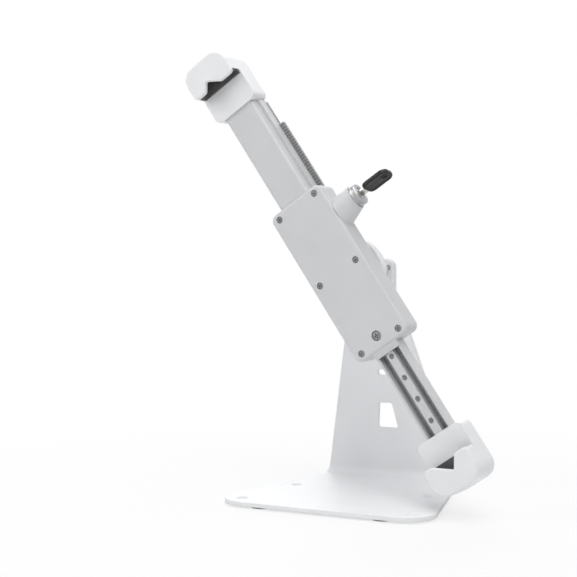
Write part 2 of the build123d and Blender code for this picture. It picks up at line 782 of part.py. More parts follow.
def jaw_body(end, corner_at, neck, overlap_end):
    """Bracket body: an L-shaped lip, two walls behind it and a block behind the slot."""
    lip_back = lip_front - lip_thick
    back_share = lip_thick / (lip_front - seat_front)
    lip_back_outer = lip_outer + back_share * (seat_outer - lip_outer)
    lip_back_half = lip_half + back_share * (seat_half - lip_half)
    notch = jaw_corner(-overlap_side, -overlap_end)
    slot = jaw_corner(lining, lining)
    lip_stages = [(lip_back, lip_back_outer, lip_back_half), (lip_front, lip_outer, lip_half)]
    block_stages = [(block_rear, block_outer, block_half), (seat_front, seat_outer, seat_half)]
    wall_stages = [(seat_front, seat_outer, seat_half), (lip_back, lip_back_outer, lip_back_half)]
    bodies = [(-neck, neck_corner, block_stages), (lip_inner, inner_corner, wall_stages)]
    with BuildPart() as jaw:
        for inner, corner, stages in bodies:
            for depth, outer, half in stages:
                with BuildSketch(jaw_face(end, corner_at, depth)) as outline:
                    with Locations(((inner + outer) / 2, 0)):
                        Rectangle(outer - inner, 2 * half)
                    fillet(outline.vertices().group_by(Axis.X)[-1], outer_corner)
                    fillet(outline.vertices().group_by(Axis.X)[0], corner)
            loft()
            if inner == -neck:
                fillet(jaw.edges().group_by(Axis.Y)[-1], block_round)
        with BuildSketch(jaw_face(end, corner_at, seat_front)):
            with Locations(slot):
                Rectangle(slot_reach, slot_reach, rotation=arm_angle, align=(Align.MAX, Align.MIN))
        extrude(amount=lip_back - seat_front, mode=Mode.SUBTRACT)
        for depth, outer, half in lip_stages:
            with BuildSketch(jaw_face(end, corner_at, depth)) as outline:
                with Locations(((lip_inner + outer) / 2, 0)):
                    Rectangle(outer - lip_inner, 2 * half)
                fillet(outline.vertices().group_by(Axis.X)[-1], outer_corner)
                with Locations(notch):
                    Rectangle(
                        slot_reach,
                        slot_reach,
                        rotation=arm_angle,
                        align=(Align.MAX, Align.MIN),
                        mode=Mode.SUBTRACT,
                    )
                fillet(outline.vertices().group_by(Axis.X)[0], inner_corner)
                fillet(outline.vertices().sort_by_distance(notch)[0], notch_corner)
        loft()
        fillet(jaw.edges().group_by(Axis.Y)[0], lip_round)
    return jaw


lower_jaw = jaw_body(1, lower_corner_at, lower_neck, lower_overlap_end)
socket_end = rail_end - lower_corner_at
lower_side_inner = rail_half + core_wall
lower_cores = []
for turned in (-1, 1):
    lower_cores.append((socket_end + core_wall, core_outer, turned * core_rib, turned * core_half))
    lower_cores.append((core_wall - lower_neck, socket_end, turned * lower_side_inner, turned * core_half))
with BuildPart() as lower_bracket:
    add(lower_jaw.part)
    with BuildSketch(section(lower_corner_at - lower_neck - 1)):
        with Locations((0, (rail_front + rail_rear) / 2)):
            Rectangle(2 * (rail_half + socket_gap), rail_front - rail_rear + 2 * socket_gap)
    extrude(amount=rail_insert + 1 + socket_over, mode=Mode.SUBTRACT)
    for inner, outer, low, high in lower_cores:
        with BuildSketch(jaw_face(1, lower_corner_at, block_rear)) as core:
            with Locations(((inner + outer) / 2, (low + high) / 2)):
                Rectangle(outer - inner, abs(high - low))
            fillet(core.vertices(), core_corner)
        extrude(amount=core_top - block_rear, mode=Mode.SUBTRACT)
    with BuildSketch(face(rail_rear)):
        with Locations(*lower_screw_places):
            Circle(rail_screw[0] + screw_gap)
    extrude(amount=block_rear - rail_rear, mode=Mode.SUBTRACT)
    with BuildSketch(face(block_rear)):
        with Locations(*lower_screw_places):
            Circle(rail_screw[1] + lower_head_gap)
    extrude(amount=rail_screw[2] + lower_head_sink, mode=Mode.SUBTRACT)
save(lower_bracket, "lower_bracket")

lower_seat = block_rear + rail_screw[2] + lower_head_sink
lower_seat_plane = Plane(centre + forward * lower_seat, x_dir=along, z_dir=forward * -1)
lower_bracket_screws = screw_set(lower_seat_plane, lower_screw_places, rail_screw, lower_bracket_screw_length)
save(lower_bracket_screws, "lower_bracket_screws")

upper_jaw = jaw_body(-1, upper_corner_at, upper_neck, upper_overlap_end)
upper_socket_end = -arm_start - upper_corner_at
upper_cores = []
for turned in (-1, 1):
    upper_cores.append((upper_socket_end + core_wall, core_outer, turned * core_rib, turned * core_half))
with BuildPart() as upper_bracket:
    add(upper_jaw.part)
    with BuildSketch(section(arm_start - socket_over)):
        with Locations((0, (arm_front + arm_step) / 2)):
            Rectangle(2 * (arm_half + socket_gap), arm_front - arm_step + 2 * socket_gap)
        with Locations((0, (arm_step + arm_rear) / 2)):
            Rectangle(2 * (arm_wide_half + socket_gap), arm_step - arm_rear + 2 * socket_gap)
    extrude(amount=arm_insert + 1 + socket_over, mode=Mode.SUBTRACT)
    for inner, outer, low, high in upper_cores:
        with BuildSketch(jaw_face(-1, upper_corner_at, block_rear)) as core:
            with Locations(((inner + outer) / 2, (low + high) / 2)):
                Rectangle(outer - inner, abs(high - low))
            fillet(core.vertices(), core_corner)
        extrude(amount=core_top - block_rear, mode=Mode.SUBTRACT)
    with BuildSketch(face(arm_rear)):
        with Locations(*upper_screw_places):
            Circle(small_screw[0] + screw_gap)
    extrude(amount=block_rear - arm_rear, mode=Mode.SUBTRACT)
    with BuildSketch(face(block_rear)):
        with Locations(*upper_screw_places):
            Circle(small_screw[1] + upper_head_gap)
    extrude(amount=upper_head_sink, mode=Mode.SUBTRACT)
save(upper_bracket, "upper_bracket")

upper_seat = block_rear + upper_head_sink
upper_seat_plane = Plane(centre + forward * upper_seat, x_dir=along, z_dir=forward * -1)
upper_length = upper_bracket_screw_length
upper_bracket_screws = screw_set(upper_seat_plane, upper_screw_places, small_screw, upper_length)
save(upper_bracket_screws, "upper_bracket_screws")


def jaw_lining(end, corner_at, overlap_end):
    """Rubber lining of a bracket's slot: a floor, two walls and a strip under the lip."""
    height = lip_front - lip_thick - seat_front - flat_gap
    shift = lining_inset
    outside = jaw_corner(lining - flat_gap, lining - flat_gap)
    inside = jaw_corner(0, 0)
    notch = jaw_corner(shift - overlap_side, shift - overlap_end)
    cuts = [(seat_front + lining, inside, height - 2 * lining), (seat_front + height - lining, notch, lining)]
    with BuildPart() as liner:
        with BuildSketch(jaw_face(end, corner_at, seat_front)):
            with Locations(outside):
                Rectangle(slot_reach, slot_reach, rotation=arm_angle, align=(Align.MAX, Align.MIN))
            with Locations(((lip_inner + seat_outer) / 2 + shift, 0)):
                Rectangle(seat_outer - lip_inner, 2 * (lip_half - shift), mode=Mode.INTERSECT)
        extrude(amount=height)
        for depth, corner, amount in cuts:
            with BuildSketch(jaw_face(end, corner_at, depth)):
                with Locations(corner):
                    Rectangle(slot_reach, slot_reach, rotation=arm_angle, align=(Align.MAX, Align.MIN))
            extrude(amount=amount, mode=Mode.SUBTRACT)
    return liner


lower_bracket_pad = jaw_lining(1, lower_corner_at, lower_overlap_end)
save(lower_bracket_pad, "lower_bracket_pad")
upper_bracket_pad = jaw_lining(-1, upper_corner_at, upper_overlap_end)
save(upper_bracket_pad, "upper_bracket_pad")

# Lock barrel: a bright body held by a clip in its groove, with the plug turning in it
with BuildPart() as lock_barrel:
    with BuildSketch(side(barrel_inner)):
        Circle(barrel_radius)
    extrude(amount=boss_top - barrel_inner)
    with BuildSketch(side(clip_inner - 2 * flat_gap)):
        Circle(barrel_radius + bite)
        Circle(barrel_groove_radius, mode=Mode.SUBTRACT)
    extrude(amount=clip_thick + 4 * flat_gap, mode=Mode.SUBTRACT)
    with BuildSketch(side(boss_top)):
        Circle(barrel_head_radius)
    extrude(amount=barrel_head_end - boss_top)
    outer_rim = lock_barrel.edges().sort_by(Axis(centre, across))[-1]
    chamfer(outer_rim, 0.9)
    with BuildSketch(side(barrel_head_end)):
        Circle(plug_radius + shaft_gap)
    extrude(amount=plug_inner - flat_gap - barrel_head_end, mode=Mode.SUBTRACT)
    with BuildSketch(side(barrel_inner)):
        Circle(barrel_floor_hole)
    extrude(amount=plug_inner - barrel_inner, mode=Mode.SUBTRACT)
save(lock_barrel, "lock_barrel")

with BuildPart() as lock_clip:
    with BuildSketch(side(clip_inner)) as clip_outline:
        with Locations((0, clip_shift)):
            Rectangle(2 * clip_half, clip_tall)
        fillet(clip_outline.vertices(), clip_corner)
        Circle(barrel_groove_radius + shaft_gap, mode=Mode.SUBTRACT)
        with Locations((0, clip_half)):
            Rectangle(2 * (barrel_groove_radius + shaft_gap), 2 * clip_half, mode=Mode.SUBTRACT)
    extrude(amount=clip_thick)
save(lock_clip, "lock_clip")

with BuildPart() as lock_plug:
    with BuildSketch(side(plug_inner)):
        Circle(plug_radius)
    extrude(amount=plug_face - plug_inner)
    chamfer(lock_plug.edges().sort_by(Axis(centre, across))[-1], 0.4)
    with BuildSketch(side(plug_face)):
        Rectangle(blade_width + 2 * keyway_gap, blade_thick + 2 * keyway_gap, rotation=key_turn)
    extrude(amount=blade_tip - keyway_floor - plug_face, mode=Mode.SUBTRACT)
    with BuildSketch(side(cam_inner)):
        Rectangle(tail_side, tail_side, rotation=cam_turn)
    extrude(amount=plug_inner - cam_inner)
    with BuildSketch(side(cam_inner)):
        Circle(cam_screw_size[0] + shaft_gap)
    extrude(amount=cam_screw_length + 2 * screw_gap, mode=Mode.SUBTRACT)
save(lock_plug, "lock_plug")

with BuildPart() as lock_cam:
    with BuildSketch(side(cam_inner)):
        turn = radians(cam_turn)
        with Locations((cam_throw * cos(turn), cam_throw * sin(turn))):
            Circle(cam_radius)
        tail_hole = tail_side + 2 * shaft_gap
        Rectangle(tail_hole, tail_hole, rotation=cam_turn, mode=Mode.SUBTRACT)
    extrude(amount=cam_outer - cam_inner)
save(lock_cam, "lock_cam")

cam_face = Plane(side(cam_inner).origin, x_dir=along, z_dir=across * -1)
cam_screw = screw_set(cam_face, [(0, 0)], cam_screw_size, cam_screw_length)
save(cam_screw, "cam_screw")

# Locking pawl: a frame round the cam whose teeth match the rack's
first_tooth = round((lock_at - rack_teeth_start) / tooth_pitch) * tooth_pitch + rack_teeth_start - lock_at
pawl_tip = rear_of["tip"] - pawl_rest_gap
pawl_root = pawl_tip - tooth_height
pawl_line = []
for number in range(-4, 5):
    tip_at = first_tooth + number * tooth_pitch - pawl_flank_gap
    pawl_line.append((tip_at, pawl_tip))
    pawl_line.append((tip_at, pawl_root))
pawl_end = lock_depth - pawl_front
with BuildPart() as locking_pawl:
    with BuildSketch(side(pawl_inner)):
        with BuildLine():
            Polyline(*pawl_line[1:-1], (pawl_line[-1][0], pawl_end), (pawl_line[0][0], pawl_end), close=True)
        make_face()
        Rectangle(2 * pawl_half, 3 * pawl_half, mode=Mode.INTERSECT)
        with Locations((0, -cam_throw / sqrt(2))):
            Rectangle(2 * pawl_window_half, 2 * (cam_radius + 2 * flat_gap), mode=Mode.SUBTRACT)
    extrude(amount=pawl_outer - pawl_inner)
save(locking_pawl, "locking_pawl")

# Key: a flat blade in a moulded bow that stands on the lock's axis
with BuildPart() as key_blade:
    with BuildSketch(side(blade_tip)):
        Rectangle(blade_width, blade_thick, rotation=key_turn)
    extrude(amount=bow_start + bow_overlap - blade_tip)
save(key_blade, "key_blade")

key_across = along * cos(radians(key_turn)) - forward * sin(radians(key_turn))
key_plane = Plane(side(0.0).origin, x_dir=key_across, z_dir=key_across.cross(across))
with BuildPart() as key_bow:
    with BuildSketch(key_plane) as bow_outline:
        Polygon(
            (-bow_neck_width / 2, bow_start),
            (bow_neck_width / 2, bow_start),
            (bow_width / 2, bow_start + bow_shoulder),
            (bow_width / 2, bow_end),
            (-bow_width / 2, bow_end),
            (-bow_width / 2, bow_start + bow_shoulder),
            align=None,
        )
        fillet(bow_outline.vertices().group_by(Axis.Y)[-1], bow_end_corner)
        fillet(bow_outline.vertices().group_by(Axis.Y)[1], bow_shoulder_corner)
    extrude(amount=bow_thick / 2, both=True)
    chamfer(key_bow.faces().filter_by(Plane(key_plane.origin, z_dir=key_plane.z_dir)).edges(), bow_edge)
    with BuildSketch(key_plane):
        with Locations((0, bow_end - key_hole_from_end)):
            Circle(key_hole_radius)
    extrude(amount=bow_thick, both=True, mode=Mode.SUBTRACT)
    with BuildSketch(side(bow_start)):
        slot = 2 * shaft_gap
        Rectangle(blade_width + slot, blade_thick + slot, rotation=key_turn)
    extrude(amount=bow_overlap + flat_gap, mode=Mode.SUBTRACT)
save(key_bow, "key_bow")
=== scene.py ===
# %% [markdown]
# A lockable clamp on a bent sheet stand.
# The stand is one bent sheet. A clamp turns and tilts on its top tab, and two padded corner
# brackets reach out on a sliding arm and a rail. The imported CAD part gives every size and
# place, and this lesson adds the finishes and the small shapes that CAD leaves plain: screw
# drives, threads, the key and the moulded surfaces.

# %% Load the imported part
import math

import bpy
import json
import numpy as np
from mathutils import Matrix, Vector


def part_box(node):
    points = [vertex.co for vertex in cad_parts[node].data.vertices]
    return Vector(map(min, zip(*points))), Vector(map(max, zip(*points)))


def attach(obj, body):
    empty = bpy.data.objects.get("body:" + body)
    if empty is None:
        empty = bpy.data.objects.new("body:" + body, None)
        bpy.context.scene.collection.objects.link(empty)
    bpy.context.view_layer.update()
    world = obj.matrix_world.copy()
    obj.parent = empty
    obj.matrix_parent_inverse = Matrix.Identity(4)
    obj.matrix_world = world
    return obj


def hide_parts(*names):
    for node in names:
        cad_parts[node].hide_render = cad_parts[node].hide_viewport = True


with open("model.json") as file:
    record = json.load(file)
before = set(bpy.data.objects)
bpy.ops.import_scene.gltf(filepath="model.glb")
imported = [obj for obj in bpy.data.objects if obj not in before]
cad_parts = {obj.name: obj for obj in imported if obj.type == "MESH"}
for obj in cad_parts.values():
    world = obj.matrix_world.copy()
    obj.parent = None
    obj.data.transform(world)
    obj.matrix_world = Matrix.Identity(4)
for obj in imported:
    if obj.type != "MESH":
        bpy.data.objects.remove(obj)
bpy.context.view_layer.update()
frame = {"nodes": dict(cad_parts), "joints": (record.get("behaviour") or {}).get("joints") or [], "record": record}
print("nodes in the part:", len(frame["nodes"]))

# %% [markdown]
# The clamp lies across the stand at an angle, so most of its pieces are easiest to describe
# in its own directions: along the arms towards the lower bracket, across them towards the
# lock, and forward. These three unit vectors are measured from the part, from the joint that
# slides the arm and the one that turns the lock. The corner that each bracket holds is given by
# its distance from the centre, in millimetres.

# %% Directions of the clamp
joints = {joint["name"]: joint for joint in frame["joints"]}
along = np.array(joints["arm_slide"]["axis"], float)
across = np.array(joints["lock_turn"]["axis"], float)
forward = np.array([0.0, -1.0, 0.0])
rearward = -forward
centre = np.array(joints["swivel"]["pos_m"], float)
lock_point = np.array(joints["lock_turn"]["pos_m"], float)
lock_across = 1000 * float(np.dot(lock_point - centre, across))
tilt_point = np.array(joints["tilt"]["pos_m"], float)
arm_turn = math.atan2(-along[2], along[0])
bracket_corner_at = {"lower_bracket": 180.8, "upper_bracket": 196.0}
print("arm angle in degrees:", round(math.degrees(arm_turn), 1))
print("lock's place across the arm in mm:", round(lock_across, 3))


def on_clamp(s, p, w):
    """Point at centre + s along + p across + w forward, with s, p and w in millimetres."""
    return centre + (s * along + p * across + w * forward) / 1000


# %% [markdown]
# The photograph was taken from the right, a little above the middle of the stand and from
# about a metre away. The camera keeps its upright lines vertical, so it looks level and the
# picture is shifted down instead of tilting the camera.

# %% Camera at the photograph's viewpoint
camera_data = bpy.data.cameras.new("photo_camera")
camera = bpy.data.objects.new("photo_camera", camera_data)
bpy.context.scene.collection.objects.link(camera)
bpy.context.scene.camera = camera
camera_data.lens = 85.04
camera_data.sensor_width = 36.0
camera_data.shift_x = -0.0009
camera_data.shift_y = -0.0953
camera_data.clip_start = 0.05
camera_data.clip_end = 50.0
look = Vector((-0.4498, 0.8931, 0.0))
camera.location = (0.43639, -0.9590, 0.20859)
camera.rotation_mode = "QUATERNION"
camera.rotation_quaternion = look.to_track_quat("-Z", "Y")
print("camera turned", round(math.degrees(math.atan2(0.4498, 0.8931)), 1), "degrees from the front")

# %% [markdown]
# Every finish here shares three effects. The first finds edges: Cycles' Bevel node gives a
# rounded normal near an edge, and the angle between it and the true normal says how close the
# edge is. Real mouldings and coated sheets have softened edges that catch light, which the
# rounded normal gives. The mask lightens the colour along the edges, partly as wear where a coat
# is thin or hands rub and partly as a painted highlight.

# %% Shader group: soft edges


def new_group(name, inputs, outputs):
    """An empty shader node group with float or vector sockets, and its two end nodes."""
    group = bpy.data.node_groups.new(name, "ShaderNodeTree")
    for label, kind, value in inputs:
        socket = group.interface.new_socket(label, in_out="INPUT", socket_type=kind)
        socket.default_value = value
    for label, kind in outputs:
        group.interface.new_socket(label, in_out="OUTPUT", socket_type=kind)
    return group, group.nodes.new("NodeGroupInput"), group.nodes.new("NodeGroupOutput")


def join(tree, start, end):
    """Links an output socket to an input socket."""
    tree.links.new(start, end)


def math_node(tree, operation, first, second=None):
    """A Math node whose inputs are sockets or plain numbers; returns its output."""
    node = tree.nodes.new("ShaderNodeMath")
    node.operation = operation
    for slot, value in enumerate((first, second)):
        if value is None:
            continue
        if isinstance(value, (int, float)):
            node.inputs[slot].default_value = value
        else:
            join(tree, value, node.inputs[slot])
    return node.outputs[0]


def ramp(tree, value, low, high, to_low, to_high):
    """Map Range: value from low to high becomes to_low to to_high, and stays between them."""
    node = tree.nodes.new("ShaderNodeMapRange")
    join(tree, value, node.inputs["Value"])
    for label, number in (("From Min", low), ("From Max", high), ("To Min", to_low), ("To Max", to_high)):
        if isinstance(number, (int, float)):
            node.inputs[label].default_value = number
        else:
            join(tree, number, node.inputs[label])
    return node.outputs["Result"]


edges, edges_in, edges_out = new_group(
    "soft_edges",
    [("Radius", "NodeSocketFloat", 0.0006)],
    [("Mask", "NodeSocketFloat"), ("Normal", "NodeSocketVector")],
)
bevel = edges.nodes.new("ShaderNodeBevel")
bevel.samples = 4
true_face = edges.nodes.new("ShaderNodeNewGeometry")
closeness = edges.nodes.new("ShaderNodeVectorMath")
closeness.operation = "DOT_PRODUCT"
join(edges, edges_in.outputs["Radius"], bevel.inputs["Radius"])
join(edges, bevel.outputs["Normal"], closeness.inputs[0])
join(edges, true_face.outputs["True Normal"], closeness.inputs[1])
join(edges, ramp(edges, closeness.outputs["Value"], 0.99, 0.75, 0.0, 1.0), edges_out.inputs["Mask"])
join(edges, bevel.outputs["Normal"], edges_out.inputs["Normal"])
print("group", edges.name, "is ready")

# %% [markdown]
# The second effect is the fine texture of a surface. Powder coat flows into a soft orange
# peel about a millimetre across, and moulded plastic copies the spark-eroded grain of its
# steel mould, at a few tenths of a millimetre. Both are noise on object coordinates at two
# scales. The group puts out a height for a Bump node and a roughness that follows it.

# %% Shader group: surface grain
grain, grain_in, grain_out = new_group(
    "surface_grain",
    [
        ("Scale", "NodeSocketFloat", 900.0),
        ("Fine", "NodeSocketFloat", 0.3),
        ("Rough Low", "NodeSocketFloat", 0.35),
        ("Rough High", "NodeSocketFloat", 0.5),
    ],
    [("Height", "NodeSocketFloat"), ("Roughness", "NodeSocketFloat")],
)
place = grain.nodes.new("ShaderNodeTexCoord")
coarse = grain.nodes.new("ShaderNodeTexNoise")
fine = grain.nodes.new("ShaderNodeTexNoise")
coarse.inputs["Detail"].default_value = 2.0
fine.inputs["Detail"].default_value = 3.0
join(grain, place.outputs["Object"], coarse.inputs["Vector"])
join(grain, place.outputs["Object"], fine.inputs["Vector"])
join(grain, grain_in.outputs["Scale"], coarse.inputs["Scale"])
join(grain, math_node(grain, "MULTIPLY", grain_in.outputs["Scale"], 4.3), fine.inputs["Scale"])
fine_part = math_node(grain, "MULTIPLY", fine.outputs["Fac"], grain_in.outputs["Fine"])
join(grain, math_node(grain, "ADD", coarse.outputs["Fac"], fine_part), grain_out.inputs["Height"])
rough_limits = (grain_in.outputs["Rough Low"], grain_in.outputs["Rough High"])
join(grain, ramp(grain, fine.outputs["Fac"], 0.3, 0.7, *rough_limits), grain_out.inputs["Roughness"])
print("group", grain.name, "is ready")

# %% [markdown]
# The third is drawn lines. An extrusion comes through its die with faint lines along its
# length, and turned or brushed steel has lines round or along it. Noise that is squeezed
# across one direction makes such lines, so the group turns the object coordinates by an
# angle about the front-to-rear axis first, then stretches them.

# %% Shader group: drawn lines
drawn, drawn_in, drawn_out = new_group(
    "drawn_lines",
    [
        ("Turn", "NodeSocketFloat", 0.0),
        ("Fineness", "NodeSocketFloat", 2500.0),
        ("Rough Low", "NodeSocketFloat", 0.25),
        ("Rough High", "NodeSocketFloat", 0.45),
    ],
    [("Height", "NodeSocketFloat"), ("Roughness", "NodeSocketFloat")],
)
drawn_place = drawn.nodes.new("ShaderNodeTexCoord")
turn_it = drawn.nodes.new("ShaderNodeVectorRotate")
turn_it.rotation_type = "Y_AXIS"
stretch = drawn.nodes.new("ShaderNodeVectorMath")
stretch.operation = "MULTIPLY"
stretch.inputs[1].default_value = (0.01, 1.0, 1.0)
lines = drawn.nodes.new("ShaderNodeTexNoise")
lines.inputs["Detail"].default_value = 2.0
join(drawn, drawn_place.outputs["Object"], turn_it.inputs["Vector"])
join(drawn, drawn_in.outputs["Turn"], turn_it.inputs["Angle"])
join(drawn, turn_it.outputs["Vector"], stretch.inputs[0])
join(drawn, stretch.outputs["Vector"], lines.inputs["Vector"])
join(drawn, drawn_in.outputs["Fineness"], lines.inputs["Scale"])
join(drawn, lines.outputs["Fac"], drawn_out.inputs["Height"])
rough_limits = (drawn_in.outputs["Rough Low"], drawn_in.outputs["Rough High"])
join(drawn, ramp(drawn, lines.outputs["Fac"], 0.35, 0.65, *rough_limits), drawn_out.inputs["Roughness"])
print("group", drawn.name, "is ready")

# %% [markdown]
# A last small group gives slow colour change over tens of millimetres. A white part is never
# one white: the coat's thickness, a trace of dust and handling shift it by a percent or two.

# %% Shader group: slow colour change
tone, tone_in, tone_out = new_group(
    "slow_tone",
    [("Scale", "NodeSocketFloat", 30.0)],
    [("Mask", "NodeSocketFloat")],
)
tone_place = tone.nodes.new("ShaderNodeTexCoord")
clouds = tone.nodes.new("ShaderNodeTexNoise")
clouds.inputs["Detail"].default_value = 4.0
join(tone, tone_place.outputs["Object"], clouds.inputs["Vector"])
join(tone, tone_in.outputs["Scale"], clouds.inputs["Scale"])
join(tone, ramp(tone, clouds.outputs["Fac"], 0.3, 0.7, 0.0, 1.0), tone_out.inputs["Mask"])
print("group", tone.name, "is ready")

# %% [markdown]
# One function assembles a material from these groups. It mixes two close colours with the
# slow change, and lightens the edges with a colour that is partly wear and partly a painted
# highlight. It takes roughness from the grain or the drawn lines, and feeds the height to a Bump
# node over the rounded normal. Values that are the same everywhere, such as metallic or coat
# weight, are set on the Principled shader's own sockets.

# %% Function: a finish from the shared groups


def group_node(tree, group, **values):
    """Places a shader group in a material and sets its inputs by name."""
    node = tree.nodes.new("ShaderNodeGroup")
    node.node_tree = group
    for label, value in values.items():
        node.inputs[label.replace("_", " ")].default_value = value
    return node


def mix_colour(tree, mask, first, second):
    """Mixes two colours by a mask; each may be a colour or a socket. Inputs 6 and 7 take colours."""
    node = tree.nodes.new("ShaderNodeMix")
    node.data_type = "RGBA"
    join(tree, mask, node.inputs["Factor"])
    for label, value in ((6, first), (7, second)):
        if isinstance(value, tuple):
            node.inputs[label].default_value = (*value, 1.0)
        else:
            join(tree, value, node.inputs[label])
    return node.outputs[2]


def finish_material(name, colours, edge_wear_and_highlight_colour, texture, bump, edge_radius=0.0005, **fixed):
    """A material: two close colours, soft edges lightened partly for wear and partly as a painted highlight, a
    texture group and a bump in metres.
    """
    material = bpy.data.materials.new(name)
    material.use_nodes = True
    tree = material.node_tree
    shader = tree.nodes["Principled BSDF"]
    slow = group_node(tree, tone)
    edge = group_node(tree, edges, Radius=edge_radius)
    base = mix_colour(tree, slow.outputs["Mask"], *colours)
    # The edges are mixed towards a lighter colour: partly wear, partly a painted highlight.
    edge_wear_and_highlight_weight = 0.5
    edge_wear_and_highlight_share = math_node(tree, "MULTIPLY", edge.outputs["Mask"], edge_wear_and_highlight_weight)
    join(tree, mix_colour(tree, edge_wear_and_highlight_share, base, edge_wear_and_highlight_colour), shader.inputs["Base Color"])
    join(tree, texture(tree).outputs["Roughness"], shader.inputs["Roughness"])
    relief = tree.nodes.new("ShaderNodeBump")
    relief.inputs["Distance"].default_value = bump
    relief.inputs["Strength"].default_value = 1.0
    source = next(n for n in tree.nodes if n.type == "GROUP" and "Height" in n.outputs)
    join(tree, source.outputs["Height"], relief.inputs["Height"])
    join(tree, edge.outputs["Normal"], relief.inputs["Normal"])
    join(tree, relief.outputs["Normal"], shader.inputs["Normal"])
    for label, value in fixed.items():
        shader.inputs[label.replace("_", " ")].default_value = value
    return material


# %% [markdown]
# Now the finishes themselves. The sheet is powder coated white and the brackets are moulded in
# a bright white plastic. The housing, the arm and the rail are coloured a shade greyer, which is
# painted shade, as if the tablet held in the clamp shaded them. The housing is moulded with a fine
# grain, and the two extrusions have a thin coat over die lines. Screws and bolts are zinc plated,
# the lock is satin chromed and the rack is phosphated steel, dark with lighter tooth edges, which
# are partly wear and partly a painted highlight. The linings are rubber, the swivel's friction
# disc is nylon and the key has a black plastic bow on a nickel-plated blade.

# %% The finishes
powder_white = finish_material(
    "powder_coated_sheet",
    [(0.87, 0.872, 0.876), (0.845, 0.848, 0.853)],
    (0.90, 0.90, 0.90),
    lambda tree: group_node(tree, grain, Scale=750.0, Fine=0.25, Rough_Low=0.40, Rough_High=0.54),
    0.00003,
    edge_radius=0.0008,
    Specular_IOR_Level=0.3,
)
# Painted shade: the housing is coloured greyer than the brackets, as if shaded by a held tablet.
housing_grey_painted_shade = finish_material(
    "moulded_housing_painted_shade",
    [(0.65, 0.652, 0.655), (0.62, 0.622, 0.626)],
    (0.74, 0.74, 0.74),
    lambda tree: group_node(tree, grain, Scale=2600.0, Fine=0.6, Rough_Low=0.42, Rough_High=0.60),
    0.00002,
    edge_radius=0.0005,
)
bracket_white = finish_material(
    "moulded_brackets",
    [(0.85, 0.85, 0.855), (0.82, 0.82, 0.826)],
    (0.90, 0.90, 0.90),
    lambda tree: group_node(tree, grain, Scale=2200.0, Fine=0.5, Rough_Low=0.30, Rough_High=0.44),
    0.000015,
    edge_radius=0.0006,
)
# Painted shade: the arm and rail are coloured greyer than the brackets, as if shaded by a held tablet.
extrusion_grey_painted_shade = finish_material(
    "coated_extrusion_painted_shade",
    [(0.64, 0.642, 0.646), (0.61, 0.613, 0.618)],
    (0.76, 0.76, 0.765),
    lambda tree: group_node(tree, drawn, Turn=-arm_turn, Fineness=1800.0, Rough_Low=0.30, Rough_High=0.46),
    0.00001,
    edge_radius=0.00025,
)
zinc_steel = finish_material(
    "zinc_plated_steel",
    [(0.52, 0.52, 0.53), (0.42, 0.42, 0.44)],
    (0.70, 0.70, 0.70),
    lambda tree: group_node(tree, grain, Scale=3000.0, Fine=0.8, Rough_Low=0.28, Rough_High=0.50),
    0.00001,
    edge_radius=0.0002,
    Metallic=1.0,
)
lock_chrome = finish_material(
    "chromed_lock",
    [(0.44, 0.44, 0.45), (0.36, 0.36, 0.37)],
    (0.66, 0.66, 0.66),
    lambda tree: group_node(tree, grain, Scale=2600.0, Fine=0.5, Rough_Low=0.24, Rough_High=0.36),
    0.000002,
    edge_radius=0.0002,
    Metallic=1.0,
)
rack_grey = finish_material(
    "phosphated_rack",
    [(0.36, 0.36, 0.363), (0.42, 0.419, 0.416)],
    (0.66, 0.66, 0.66),
    lambda tree: group_node(tree, grain, Scale=2400.0, Fine=0.7, Rough_Low=0.38, Rough_High=0.60),
    0.00001,
    edge_radius=0.0002,
    Metallic=0.6,
)
lining_rubber = finish_material(
    "rubber_lining",
    [(0.095, 0.095, 0.097), (0.125, 0.124, 0.122)],
    (0.17, 0.17, 0.17),
    lambda tree: group_node(tree, grain, Scale=3200.0, Fine=0.9, Rough_Low=0.66, Rough_High=0.84),
    0.00004,
    edge_radius=0.0004,
)
disc_nylon = finish_material(
    "nylon_disc",
    [(0.06, 0.06, 0.06), (0.08, 0.08, 0.08)],
    (0.12, 0.12, 0.12),
    lambda tree: group_node(tree, grain, Scale=1800.0, Fine=0.5, Rough_Low=0.40, Rough_High=0.55),
    0.00001,
)
bow_black = finish_material(
    "moulded_key_bow",
    [(0.010, 0.010, 0.011), (0.016, 0.016, 0.016)],
    (0.05, 0.05, 0.05),
    lambda tree: group_node(tree, grain, Scale=2200.0, Fine=0.5, Rough_Low=0.30, Rough_High=0.46),
    0.00001,
    edge_radius=0.0004,
    Specular_IOR_Level=0.3,
)
# Painted shade: a darker zinc colour stands in for the dark reflection of the screws' recesses.
zinc_painted_dark = finish_material(
    "zinc_with_painted_shade",
    [(0.30, 0.30, 0.31), (0.22, 0.22, 0.23)],
    (0.46, 0.46, 0.46),
    lambda tree: group_node(tree, grain, Scale=3000.0, Fine=0.8, Rough_Low=0.34, Rough_High=0.56),
    0.00001,
    edge_radius=0.0002,
    Metallic=0.85,
)
blade_nickel = finish_material(
    "nickel_blade",
    [(0.62, 0.60, 0.56), (0.55, 0.53, 0.50)],
    (0.75, 0.73, 0.70),
    lambda tree: group_node(tree, drawn, Turn=0.6, Fineness=3500.0, Rough_Low=0.20, Rough_High=0.38),
    0.000006,
    edge_radius=0.0002,
    Metallic=1.0,
)

# %% [markdown]
# The rack's teeth get painted shade: a dark line is painted at the foot of each tooth, where the
# teeth shade each other. The teeth are one pitch apart, so the place along the arm, divided by the
# pitch, gives a number whose fraction starts again at each tooth. A tooth is highest at its start
# and slopes down to its foot, so the dark line lies where the fraction is near one. The teeth face
# forward and the rear of the rack is plain, so the lines fade away behind the teeth's feet.

# %% Painted shade at the foot of the rack's teeth


